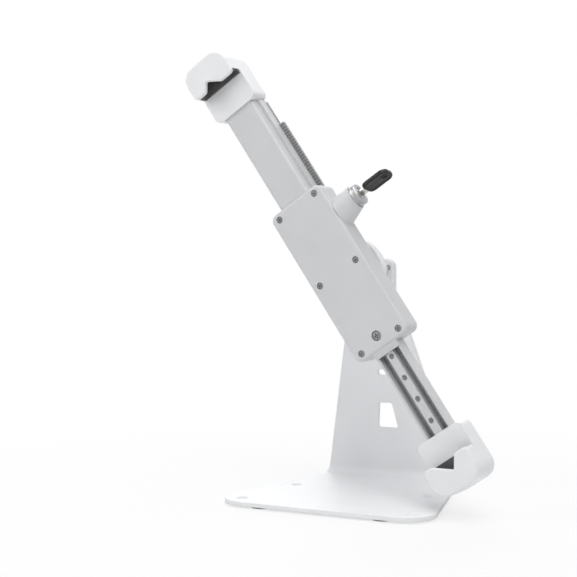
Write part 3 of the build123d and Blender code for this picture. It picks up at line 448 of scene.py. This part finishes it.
def distance_from_centre(tree, direction, start=0.0):
    """Distance of a surface point along a direction, from the clamp's centre plus a start, in metres."""
    position = tree.nodes.new("ShaderNodeTexCoord")
    measure = tree.nodes.new("ShaderNodeVectorMath")
    measure.operation = "DOT_PRODUCT"
    measure.inputs[1].default_value = direction
    join(tree, position.outputs["Object"], measure.inputs[0])
    return math_node(tree, "SUBTRACT", measure.outputs["Value"], float(np.dot(centre, direction)) + start)


tooth_pitch = 0.0025
teeth_start = -0.1305
tooth_root = -0.0105
rack_tree = rack_grey.node_tree
rack_shader = rack_tree.nodes["Principled BSDF"]
teeth_along = distance_from_centre(rack_tree, along, teeth_start)
in_tooth = math_node(rack_tree, "FRACT", math_node(rack_tree, "DIVIDE", teeth_along, tooth_pitch))
# Painted shade: the dark line at each tooth's foot.
root_shade_line = ramp(rack_tree, in_tooth, 0.50, 0.88, 0.0, 0.78)
before_root = distance_from_centre(rack_tree, forward, tooth_root)
on_teeth = ramp(rack_tree, before_root, -0.0009, -0.0002, 0.0, 1.0)
painted_root_shade = math_node(rack_tree, "MULTIPLY", root_shade_line, on_teeth)
rack_colour_before_shade = rack_shader.inputs["Base Color"].links[0].from_socket
rack_colour_with_root_shade = mix_colour(rack_tree, painted_root_shade, rack_colour_before_shade, (0.05, 0.05, 0.05))
join(rack_tree, rack_colour_with_root_shade, rack_shader.inputs["Base Color"])
print("tooth lines every", 1000 * tooth_pitch, "mm")

# %% [markdown]
# Each bracket is hollow at the rear, and near its two outer corners the pocket comes close to
# the outside. The Bevel node looks for edges through such a thin wall and would draw a false
# fold there, so in that zone its radius is set to nothing. The zone is found by distances along
# the arm from the point midway between the two brackets, to the sides and forward.

# %% No softened edges over the thin corners of the brackets
lower_at, upper_at = (at / 1000 for at in bracket_corner_at.values())
midway, half_apart = (lower_at - upper_at) / 2, (lower_at + upper_at) / 2
zone_start, zone_side, zone_front = half_apart - 0.001, 0.012, 0.008
bracket_tree = bracket_white.node_tree
bracket_edge = next(n for n in bracket_tree.nodes if n.type == "GROUP" and n.node_tree == edges)
from_midway = math_node(bracket_tree, "ABSOLUTE", distance_from_centre(bracket_tree, along, midway))
to_side = math_node(bracket_tree, "ABSOLUTE", distance_from_centre(bracket_tree, across))
outward_enough = math_node(bracket_tree, "GREATER_THAN", from_midway, zone_start)
beside_middle = math_node(bracket_tree, "GREATER_THAN", to_side, zone_side)
behind_slot = math_node(bracket_tree, "LESS_THAN", distance_from_centre(bracket_tree, forward), zone_front)
in_corner = math_node(bracket_tree, "MULTIPLY", outward_enough, beside_middle)
in_corner = math_node(bracket_tree, "MULTIPLY", in_corner, behind_slot)
soft_radius = bracket_edge.inputs["Radius"].default_value
join(bracket_tree, ramp(bracket_tree, in_corner, 0.0, 1.0, soft_radius, 0.0), bracket_edge.inputs["Radius"])
print("thin corners keep their plain shading")

# %% [markdown]
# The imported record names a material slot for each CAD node, so the finishes go on by slot. The
# knuckle and the hub have the sheet's coat instead, and the brackets have their own plastic. A
# node's object stays where it is, and only the material in its slot changes.

# %% Give each CAD node its finish
finish_of_slot = {
    "white_steel": powder_white,
    "white_aluminium": extrusion_grey_painted_shade,
    "white_plastic": housing_grey_painted_shade,
    "steel": zinc_steel,
    "lock_chrome": lock_chrome,
    "rack_black": rack_grey,
    "lining_rubber": lining_rubber,
    "disc_nylon": disc_nylon,
    "key_black": bow_black,
}
for part in frame["record"]["subparts"]:
    node = frame["nodes"][part["node"]]
    node.data.materials.clear()
    node.data.materials.append(finish_of_slot[part["material_slot"]])
for name in ("tilt_knuckle", "swivel_hub"):
    frame["nodes"][name].data.materials[0] = powder_white
for name in ("upper_bracket", "lower_bracket"):
    frame["nodes"][name].data.materials[0] = bracket_white
print("finishes placed on", len(frame["nodes"]), "nodes")

# %% [markdown]
# Screws, keys and bolts are all closed rings of points, one after another: round a screw's
# axis, round a key's outline, or round a blade's section. One function turns such a stack of
# rings into a mesh, so each shape after it only has to say where its points lie.

# %% Function: a mesh from stacked rings


def ring_piece(name, points, material, body, node=None, looped=False):
    """Joins each ring to the next. points has the shape (copies, rings, segments, 3), in metres.

    Point (k, j) makes a four-sided face with (k + 1, j), (k + 1, j + 1) and (k, j + 1). The end
    rings are closed with a flat face, unless the stack is looped and its last ring meets its first.
    """
    copies, rings, segments, _ = points.shape
    ring = np.arange(rings if looped else rings - 1)
    first = np.arange(copies)[:, None, None] * rings * segments
    here = first + ring[None, :, None] * segments
    beyond = first + ((ring + 1) % rings)[None, :, None] * segments
    point = np.arange(segments)[None, None, :]
    after = (point + 1) % segments
    quads = np.stack([here + point, beyond + point, beyond + after, here + after], -1).reshape(-1, 4)
    faces = quads.tolist()
    if not looped:
        starts = first[:, 0, :]
        faces += (starts + np.arange(segments)).tolist()
        faces += (starts + (rings - 1) * segments + np.arange(segments)[::-1]).tolist()
    mesh = bpy.data.meshes.new(name)
    mesh.from_pydata(points.reshape(-1, 3).tolist(), [], faces)
    mesh.polygons.foreach_set("use_smooth", np.ones(len(mesh.polygons), bool))
    mesh.set_sharp_from_angle(angle=math.radians(32))
    mesh.materials.append(material)
    piece = bpy.data.objects.new(name, mesh)
    bpy.context.scene.collection.objects.link(piece)
    if node:
        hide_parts(node)
    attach(piece, body)
    print(name, len(mesh.polygons), "faces")
    return piece


# %% [markdown]
# A pan-head screw has a low dome, a rounded rim and a pressed drive. Seen from above, a cross
# drive is a star: in each quarter turn its outline is the nearer of the arm's end, which is a
# straight line, and the arm's side, which is another. A hexagon is the same with six straight
# lines. The thread is a zigzag that climbs by one pitch in each turn.

# %% Functions: a drive's outline, a thread and a whole screw


def cross_outline(turn, reach, half_arm):
    """Radius of a cross: the smaller of reach / cos and half_arm / sin of the folded angle."""
    folded = np.mod(turn + np.pi / 4, np.pi / 2) - np.pi / 4
    return np.minimum(reach / np.cos(folded), half_arm / np.maximum(np.abs(np.sin(folded)), 1e-6))


def hexagon_outline(turn, half_flat):
    """Radius of a hexagon at an angle: half_flat / cos of the angle folded into one sixth of a turn."""
    folded = np.mod(turn, np.pi / 3) - np.pi / 6
    return half_flat / np.cos(folded)


def thread_radius(turn, height, outer, pitch):
    """Radius of a thread: outer less a zigzag of (height / pitch + turn / 2 pi), 0.55 pitch deep."""
    phase = np.mod(height / pitch + turn / (2 * np.pi), 1.0)
    return outer - 0.55 * pitch * np.abs(2 * phase - 1)


def screw_rings(head_radius, head_height, shank_radius, length, pitch, drive, segments=48):
    """Radius and height of a screw's points, from the drive's floor over the head to the tip.

    The dome falls with the square of the radius. Heights are measured up from the head's seat.
    """
    turn = (np.arange(segments) + 0.5) * 2 * np.pi / segments
    if drive == "hexagon":
        opening = hexagon_outline(turn, 0.5 * head_radius)
    else:
        opening = cross_outline(turn, 0.56 * head_radius, 0.115 * head_radius)
    round_ring = np.ones(segments)
    dome_fall = 0.05 if drive == "hexagon" else 0.3
    floor_height = 0.4 if drive == "hexagon" else 0.3
    radii = [0.15 * opening, 0.86 * opening, opening, opening + 0.03 * head_radius]
    radii += [share * head_radius * round_ring for share in (0.72, 0.84, 0.93, 0.98, 1.0, 1.0, 0.98)]
    radii = np.array(radii)
    heights = head_height * (1 - dome_fall * (radii / head_radius) ** 2)
    heights[:2] = floor_height * head_height
    rim = np.array([0.97, 0.88, 0.7, 0.06, 0.0])
    heights[-5:] = head_height * (1 - dome_fall) * rim[:, None]
    heights[-6] = head_height * (1 - dome_fall * 0.84**2)
    steps = np.linspace(0.0, length - 0.6 * shank_radius, max(4, int(length / pitch * 5)))
    shank = thread_radius(turn[None, :], steps[:, None], shank_radius, pitch)
    tip = np.array([0.72, 0.3])[:, None] * shank_radius * round_ring
    all_radii = np.vstack([radii, shank, tip])
    tip_heights = np.array([-length + 0.15 * shank_radius, -length])[:, None] * round_ring
    all_heights = np.vstack([heights, -steps[:, None] * round_ring, tip_heights])
    return turn, all_radii, all_heights


# %% [markdown]
# The screws' places come from the part. A node's box gives the middle of its pattern, and for a
# pattern that is turned with the clamp the box's two half widths are sums of the pattern's half
# sizes, so two equations give both. The depth of the box gives the head's top and the length.
# Each screw stops at its own angle, as screws do.

# %% Function: a set of screws in place of its node


def pattern_half_sizes(node, head_radius, turned):
    """Half sizes a and b of a pattern of heads, in millimetres.

    Turned by the arm's angle, half width = a cos + b sin and half height = a sin + b cos.
    """
    low, high = (np.array(corner) * 1000 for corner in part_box(node))
    half = (high - low)[[0, 2]] / 2 - head_radius
    if not turned:
        return half
    cos, sin = math.cos(arm_turn), math.sin(arm_turn)
    return np.linalg.solve(np.array([[cos, sin], [sin, cos]]), half)


def set_of_screws(node, body, spots, screw, material, turned=True, faces_rear=True):
    """Screws on a pattern, at spots that are shares of its half sizes.

    screw is (head radius, head height, shank radius, pitch), in millimetres.
    """
    head_radius, head_height, shank_radius, pitch = screw
    low, high = (np.array(corner) * 1000 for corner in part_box(node))
    half = pattern_half_sizes(node, head_radius, turned)
    out = rearward if faces_rear else forward
    sideways = along if turned else np.array([1.0, 0.0, 0.0])
    upward = across if turned else np.array([0.0, 0.0, 1.0])
    middle = (low + high) / 2
    middle[1] = high[1] - head_height if faces_rear else low[1] + head_height
    length = high[1] - low[1] - head_height
    turn, radii, heights = screw_rings(head_radius, head_height, shank_radius, length, pitch, "cross")
    spots = np.array(spots, float)
    places = middle + spots[:, :1] * half[0] * sideways + spots[:, 1:] * half[1] * upward
    second = np.cross(out, sideways)
    angles = turn[None, :] + 0.9 * np.arange(len(spots))[:, None]
    ray = np.cos(angles)[..., None] * sideways + np.sin(angles)[..., None] * second
    sideways_part = radii[None, :, :, None] * ray[:, None]
    points = places[:, None, None, :] + sideways_part + heights[None, :, :, None] * out
    return ring_piece("screws_" + node, points / 1000, material, body, node)


# %% [markdown]
# Six small screws close the housing and a larger one locks the rail. They are recessed in the
# front cover and look dark there, because plain zinc reflects the dark side of the recess; here
# that dark reflection is painted into a darker zinc colour, which the rack's screws share. The
# rest are at the rear: the yoke's on the tab, the flange's on the hub, and those of the rack and
# the two brackets.

# %% Screws of the housing, the head and the brackets
corners = [(-1, -1), (1, -1), (1, 1), (-1, 1)]
mid_sides = [(0, -1), (0, 1)]
in_a_row = [(-1, 0), (-0.018, 0), (1, 0)]
small_screw, large_screw = (2.6, 1.5, 1.5, 0.5), (3.9, 1.9, 2.0, 0.7)
yoke_screw, rack_screw = (3.8, 2.2, 2.0, 0.7), (2.2, 0.8, 1.25, 0.45)
set_of_screws("cover_screws", "clamp", corners + mid_sides, small_screw, zinc_painted_dark, faces_rear=False)
set_of_screws("rail_lock_screw", "clamp", [(0, 0)], large_screw, zinc_painted_dark, faces_rear=False)
set_of_screws("yoke_screws", "stand", corners, yoke_screw, zinc_steel, turned=False)
set_of_screws("knuckle_screws", "tilt_head", corners, small_screw, zinc_steel, turned=False)
set_of_screws("rack_screws", "upper_arm", in_a_row, rack_screw, zinc_painted_dark)
set_of_screws("upper_bracket_screws", "upper_arm", corners, small_screw, zinc_steel)
set_of_screws("lower_bracket_screws", "clamp", [(-1, 0), (1, 0)], large_screw, zinc_steel)

# %% [markdown]
# The tilt bolt is a socket-head bolt across the yoke, with its thread showing past the nut. It
# is made from the same rings, with a hexagon for its drive and its axis from left to right.

# %% Tilt bolt
bolt_low, bolt_high = (np.array(corner) * 1000 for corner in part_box("tilt_bolt"))
bolt_head = 4.0
bolt_length = bolt_high[0] - bolt_low[0] - bolt_head
bolt_turn, bolt_radii, bolt_heights = screw_rings(5.0, bolt_head, 3.0, bolt_length, 1.0, "hexagon")
bolt_seat = np.array([bolt_low[0] + bolt_head, tilt_point[1] * 1000, tilt_point[2] * 1000])
left, up, back = np.array([-1.0, 0, 0]), np.array([0, 0, 1.0]), np.array([0, 1.0, 0])
bolt_ray = np.cos(bolt_turn)[:, None] * up + np.sin(bolt_turn)[:, None] * back
bolt_points = bolt_seat + bolt_radii[..., None] * bolt_ray + bolt_heights[..., None] * left
ring_piece("socket_head_tilt_bolt", bolt_points[None] / 1000, zinc_steel, "stand", "tilt_bolt")

# %% [markdown]
# The lock's body is turned on a lathe: a head with a bevelled rim and a fine groove round it,
# a long body with a groove for its clip, and a bore for the plug. A turned shape is one profile
# carried round an axis, so the profile is listed as radius and place along the axis, and both
# sides of it are closed in a loop. Places are measured from the middle line of the arm. Two
# points close together keep an edge crisp but not knife-sharp.

# %% Lock barrel
key_turn = math.radians(75.0)
key_width = along * math.cos(key_turn) + rearward * math.sin(key_turn)
key_out = np.cross(key_width, across)
lock_axis = lock_point * 1000
around_points = 96
around = (np.arange(around_points) + 0.5) * 2 * np.pi / around_points
full = np.ones(around_points)


def round_lock(radii, places):
    """Points at lock_axis + radius (cos turn width - sin turn out) + (place - lock_across) across."""
    ray = np.cos(around)[:, None] * key_width - np.sin(around)[:, None] * key_out
    return lock_axis + radii[..., None] * ray + (places[..., None] - lock_across) * across


barrel_profile = np.array(
    [
        (5.05, 46.1), (5.3, 46.4), (6.6, 46.4), (6.75, 46.2), (7.3, 46.2), (7.45, 46.4), (8.05, 46.4),
        (8.4, 46.3), (8.85, 45.85), (9.0, 45.5), (9.0, 43.3), (8.75, 43.05), (8.75, 42.8), (9.0, 42.55),
        (9.0, 40.9), (8.9, 40.8), (8.0, 40.8), (8.0, 23.9), (7.0, 23.9), (7.0, 22.5), (8.0, 22.5),
        (8.0, 21.2), (2.6, 21.2), (2.6, 22.75), (5.05, 22.75),
    ]
)
barrel = round_lock(barrel_profile[:, :1] * full, barrel_profile[:, 1:] * full)[None] / 1000
ring_piece("turned_lock_barrel", barrel, lock_chrome, "clamp", "lock_barrel", looped=True)

# %% [markdown]
# The plug turns in the barrel, and the key goes into its slot. The slot's outline is a thin
# rectangle, whose radius at an angle is the nearer of its end and its side, as for a screw's
# cross. At the inner end the plug has a square tail that carries the cam.

# %% Lock plug


def rectangle_outline(turn, half_long, half_short):
    """Radius of a rectangle at an angle: the smaller of half_long / |cos| and half_short / |sin|."""
    cos, sin = np.abs(np.cos(turn)), np.abs(np.sin(turn))
    return np.minimum(half_long / np.maximum(cos, 1e-6), half_short / np.maximum(sin, 1e-6))


key_slot = rectangle_outline(around, 4.1, 1.0)
tail_turn = key_turn + math.radians(45.0)
tail = rectangle_outline(around + tail_turn, 1.5, 1.5)
slot_rings = [0.2 * key_slot, key_slot, key_slot, key_slot + 0.25]
plug_radii = np.stack(slot_rings + [4.7 * full, 5.0 * full, 5.0 * full, tail, tail])
plug_places = np.array([26.0, 26.0, 45.55, 45.8, 45.8, 45.5, 22.8, 22.8, 17.9])[:, None] * full
plug = round_lock(plug_radii, plug_places)[None] / 1000
ring_piece("lock_plug_with_keyway", plug, lock_chrome, "lock_plug", "lock_plug")

# %% [markdown]
# The key stands in the lock. Its bow is a moulded grip with a raised rim, a shallow field inside
# the rim and a collared hole for a ring. Its outline is a rounded polygon: each side is a line at
# its own distance from the middle, and adding the sides as high powers rounds the corners. Each
# ring of the bow is that outline moved inward by a small step at its own height, and the last
# rings shrink to the hole.

# %% Key bow


def rounded_polygon(turn, facing, distance, power):
    """Radius (sum of (cos(turn - facing) / distance)^power)^(-1 / power) over the facing sides."""
    toward = np.maximum(np.cos(turn[:, None] - np.radians(facing)[None, :]), 0.0)
    return np.sum((toward / np.array(distance)) ** power, axis=1) ** (-1 / power)


bow_across, hole_up = 64.0, 5.5
bow_middle = lock_axis + across * (bow_across - lock_across)
facing = np.array([0, 45, 90, 135, 180, 214, 270, 326])
outline = rounded_polygon(around, facing, [8.0, 10.9, 11.0, 10.9, 8.0, 11.9, 12.5, 11.9], 22)
inward = np.array([0.0, 0.12, 0.45, 0.9, 1.8, 2.1, 2.3])
lift = np.array([0.9, 1.3, 1.6, 1.7, 1.7, 1.3, 1.25])
hole_radii = np.array([2.9, 2.7, 2.5, 2.0, 1.8])
hole_lift = np.array([1.25, 1.3, 1.6, 1.6, 1.4])
rims = np.vstack([outline - inward[:, None], hole_radii[:, None] * full])
rises = np.repeat([0.0, hole_up], [len(inward), len(hole_radii)])[:, None]
wide, tall = rims * np.cos(around), rises + rims * np.sin(around)
high_side = np.concatenate([lift, hole_lift])[:, None] * full
wide, tall = np.vstack([wide, wide[::-1]]), np.vstack([tall, tall[::-1]])
level = np.vstack([high_side, -high_side[::-1]])
bow_points = bow_middle + wide[..., None] * key_width + tall[..., None] * across
bow_points = bow_points + level[..., None] * -key_out
ring_piece("key_grip", bow_points[None, ::-1] / 1000, bow_black, "key", "key_bow", looped=True)

# %% [markdown]
# The blade is a flat strip with a groove along each face and cuts along one edge, which the
# lock reads. Its section is twelve points carried along the blade, and only the cut edge moves.

# %% Key blade
station = np.linspace(-3.0, 25.5, 150)
blade_half, blade_end = 4.0, -1.4
cut = 1.5 * (0.5 - 0.5 * np.cos(2 * np.pi * station / 3.3)) * (0.65 + 0.35 * np.sin(1.3 * station))
cut = np.where((station > -1.2) & (station < 15.3), cut, 0.0)
tip_in = np.clip(blade_end - station, 0.0, 1.6)
section_x = np.array([-4.0, -1.6, -1.2, 0.2, 0.6, 4.0, 4.0, 1.8, 1.4, 0.4, 0.0, -4.0])
section_z = np.array([-0.9, -0.9, -0.5, -0.5, -0.9, -0.9, 0.9, 0.9, 0.5, 0.5, 0.9, 0.9])
cut_side, plain_side = np.isclose(section_x, blade_half), np.isclose(section_x, -blade_half)
blade_x = section_x[None, :] - cut_side * (cut + tip_in)[:, None] + plain_side * tip_in[:, None]
blade_z = np.ones((len(station), 1)) * section_z[None, :]
blade_points = lock_axis + blade_x[..., None] * key_width - blade_z[..., None] * key_out
blade_points = blade_points + station[:, None, None] * across
ring_piece("key_blade_with_cuts", blade_points[None] / 1000, blade_nickel, "key", "key_blade")

# %% [markdown]
# Each corner bracket is hollow at the rear, so that its walls stay thin and cool evenly in the
# mould. The pocket has tight corners and the bracket's outside has wide ones, so the pocket
# comes through the outside there as a fine slit. A toolmaker rounds the pocket's corner with the
# outside, and a curved wall in each corner does that here. Its inner side is an arc that meets the
# pocket's sides, and its outer side follows the bracket's rounding a little under the surface.
# Places in a bracket are pairs: outward along the arm from the corner that it holds, and to the
# side.

# %% Curved walls in the brackets' outer corners
block_rear, block_front, pocket_top = -13.0, 10.3, 6.5
block_edge, pocket_edge = np.array([7.0, 20.2]), np.array([3.6, 17.6])
outside_round, rear_round, pocket_round = 11.5, 3.0, 6.0
outside_centre = block_edge - outside_round
pocket_side = pocket_edge - outside_centre
draft = 0.4 / (block_front - block_rear)
wall_middle, wall_half_turn = math.radians(47.7), math.radians(38.0)
under_surface, dive, into_top, stations = 0.05, 0.18, 0.2, 24


def rear_of_corner(radius):
    """Rear surface of a rounded corner at a radius: rear + round - sqrt(round^2 - over^2)."""
    over = np.clip(radius - (outside_round - rear_round), 0.0, rear_round)
    return block_rear + rear_round - np.sqrt(rear_round**2 - over**2)


def corner_walls(node, body, outward):
    """Two mirrored walls, from the pocket's new rounding out to just under the bracket's outside."""
    turn = np.linspace(0.0, np.pi / 2, stations)
    spread = np.linspace(-1.0, 1.0, stations)
    inner = pocket_side - pocket_round + pocket_round * np.stack([np.cos(turn), np.sin(turn)], -1)
    outer_turn = wall_middle + wall_half_turn * spread
    outer_radius = outside_round - under_surface - dive * spread**2
    outer = outer_radius[:, None] * np.stack([np.cos(outer_turn), np.sin(outer_turn)], -1)
    step = np.linspace(0.0, 1.0, 12)[None, :, None]
    rear_edge = inner[:, None] + step * (outer - inner)[:, None]
    rear_depth = rear_of_corner(np.linalg.norm(rear_edge, axis=-1)) + under_surface
    front_depth = pocket_top + into_top
    shift = np.array([draft * (front_depth - block_rear), 0.0])
    flat = np.concatenate([inner[:, None], rear_edge, (outer - shift)[:, None]], axis=1)
    front = np.full((stations, 1), front_depth)
    depth = np.concatenate([front, rear_depth, front], axis=1)
    place = flat + outside_centre
    far = (bracket_corner_at[node] + place[..., :1]) * outward
    pair = []
    for side in (-1, 1):
        wall = on_clamp(far, side * place[..., 1:], depth[..., None])
        pair.append(wall[:, ::-1] if side * outward < 0 else wall)
    return ring_piece(node + "_corner_walls", np.array(pair), bracket_white, body)


corner_walls("lower_bracket", "clamp", 1)
corner_walls("upper_bracket", "upper_arm", -1)
for name in bracket_corner_at:
    reach = [round(1000 * float(centre[1] - corner[1]), 1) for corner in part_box(name)]
    print(name, "reaches forward and to the rear of the centre, in mm:", reach)

# %% [markdown]
# The floor is a large pale sheet, and the background is white. A photograph of a white object
# on white needs the object's own shading to hold its shape, so the lamps stay moderate and the
# background is made white only for the camera's own rays, for reflections and for rays that
# pass through something clear. Near the object the floor keeps a part of its own shading, so
# the stand still has its shadow, and further out that part fades away.

# %% Floor and background
floor_mesh = bpy.data.meshes.new("floor")
floor_half = 6.0
floor_corners = [(floor_half * x, floor_half * y, 0) for x, y in ((-1, -1), (1, -1), (1, 1), (-1, 1))]
floor_mesh.from_pydata(floor_corners, [], [(0, 1, 2, 3)])
floor = bpy.data.objects.new("floor", floor_mesh)
bpy.context.scene.collection.objects.link(floor)
floor_material = bpy.data.materials.new("pale_floor")
floor_material.use_nodes = True
floor_tree = floor_material.node_tree
floor_shader = floor_tree.nodes["Principled BSDF"]
floor_shader.inputs["Base Color"].default_value = (0.86, 0.86, 0.86, 1.0)
floor_shader.inputs["Roughness"].default_value = 0.7
glow = floor_tree.nodes.new("ShaderNodeEmission")
glow.inputs["Strength"].default_value = 1.0
ray = floor_tree.nodes.new("ShaderNodeLightPath")
blend_white = floor_tree.nodes.new("ShaderNodeMixShader")
seen = math_node(floor_tree, "MAXIMUM", ray.outputs["Is Camera Ray"], ray.outputs["Is Glossy Ray"])
seen = math_node(floor_tree, "MAXIMUM", seen, ray.outputs["Is Transmission Ray"])
floor_place = floor_tree.nodes.new("ShaderNodeTexCoord")
from_middle = floor_tree.nodes.new("ShaderNodeVectorMath")
from_middle.operation = "LENGTH"
join(floor_tree, floor_place.outputs["Object"], from_middle.inputs[0])
shadow_until, white_from, near_share = 0.15, 0.50, 0.70
distance = from_middle.outputs["Value"]
white_share = ramp(floor_tree, distance, shadow_until, white_from, near_share, 1.0)
join(floor_tree, math_node(floor_tree, "MULTIPLY", seen, white_share), blend_white.inputs[0])
join(floor_tree, floor_shader.outputs[0], blend_white.inputs[1])
join(floor_tree, glow.outputs[0], blend_white.inputs[2])
join(floor_tree, blend_white.outputs[0], floor_tree.nodes["Material Output"].inputs[0])
floor_mesh.materials.append(floor_material)

world = bpy.data.worlds.new("studio")
bpy.context.scene.world = world
world.use_nodes = True
sky = world.node_tree
background = sky.nodes["Background"]
background.inputs["Color"].default_value = (0.93, 0.95, 1.0, 1.0)
background.inputs["Strength"].default_value = 0.37
white_card = sky.nodes.new("ShaderNodeBackground")
white_card.inputs["Color"].default_value = (1.0, 1.0, 1.0, 1.0)
white_card.inputs["Strength"].default_value = 1.0
sky_ray = sky.nodes.new("ShaderNodeLightPath")
choose = sky.nodes.new("ShaderNodeMixShader")
sky_seen = math_node(sky, "MAXIMUM", sky_ray.outputs["Is Camera Ray"], sky_ray.outputs["Is Glossy Ray"])
sky_seen = math_node(sky, "MAXIMUM", sky_seen, sky_ray.outputs["Is Transmission Ray"])
join(sky, sky_seen, choose.inputs[0])
join(sky, background.outputs[0], choose.inputs[1])
join(sky, white_card.outputs[0], choose.inputs[2])
join(sky, choose.outputs[0], sky.nodes["World Output"].inputs[0])
print("floor and background are in place")

# %% [markdown]
# Four soft boxes. The main one stands high at the right front, so the faces that look up and
# to the right are the lightest, as they are in the photograph. A weak one fills from the left, a
# wide one hangs overhead, and one stands behind so that the rear of the clamp isn't black.

# %% Lamps


def soft_box(name, place, target, width, height, power):
    """A rectangular area lamp at a place, aimed at a target."""
    data = bpy.data.lights.new(name, "AREA")
    data.shape = "RECTANGLE"
    data.size, data.size_y, data.energy = width, height, power
    lamp = bpy.data.objects.new(name, data)
    bpy.context.scene.collection.objects.link(lamp)
    lamp.location = place
    aim = Vector(target) - Vector(place)
    lamp.rotation_mode = "QUATERNION"
    lamp.rotation_quaternion = aim.to_track_quat("-Z", "Y")
    return lamp


aim_point = (0.0, 0.0, 0.17)
soft_box("main_box", (0.8, -1.0, 1.5), aim_point, 1.1, 1.0, 10.6)
soft_box("fill_box", (-1.2, -0.9, 0.7), aim_point, 1.0, 1.0, 5.0)
soft_box("top_box", (0.1, -0.1, 1.8), aim_point, 1.3, 1.3, 12.4)
soft_box("rear_box", (-0.7, 1.2, 0.8), aim_point, 1.2, 0.8, 5.6)

# %% Finish
bpy.context.scene.view_settings.view_transform = "Standard"
bpy.context.view_layer.update()
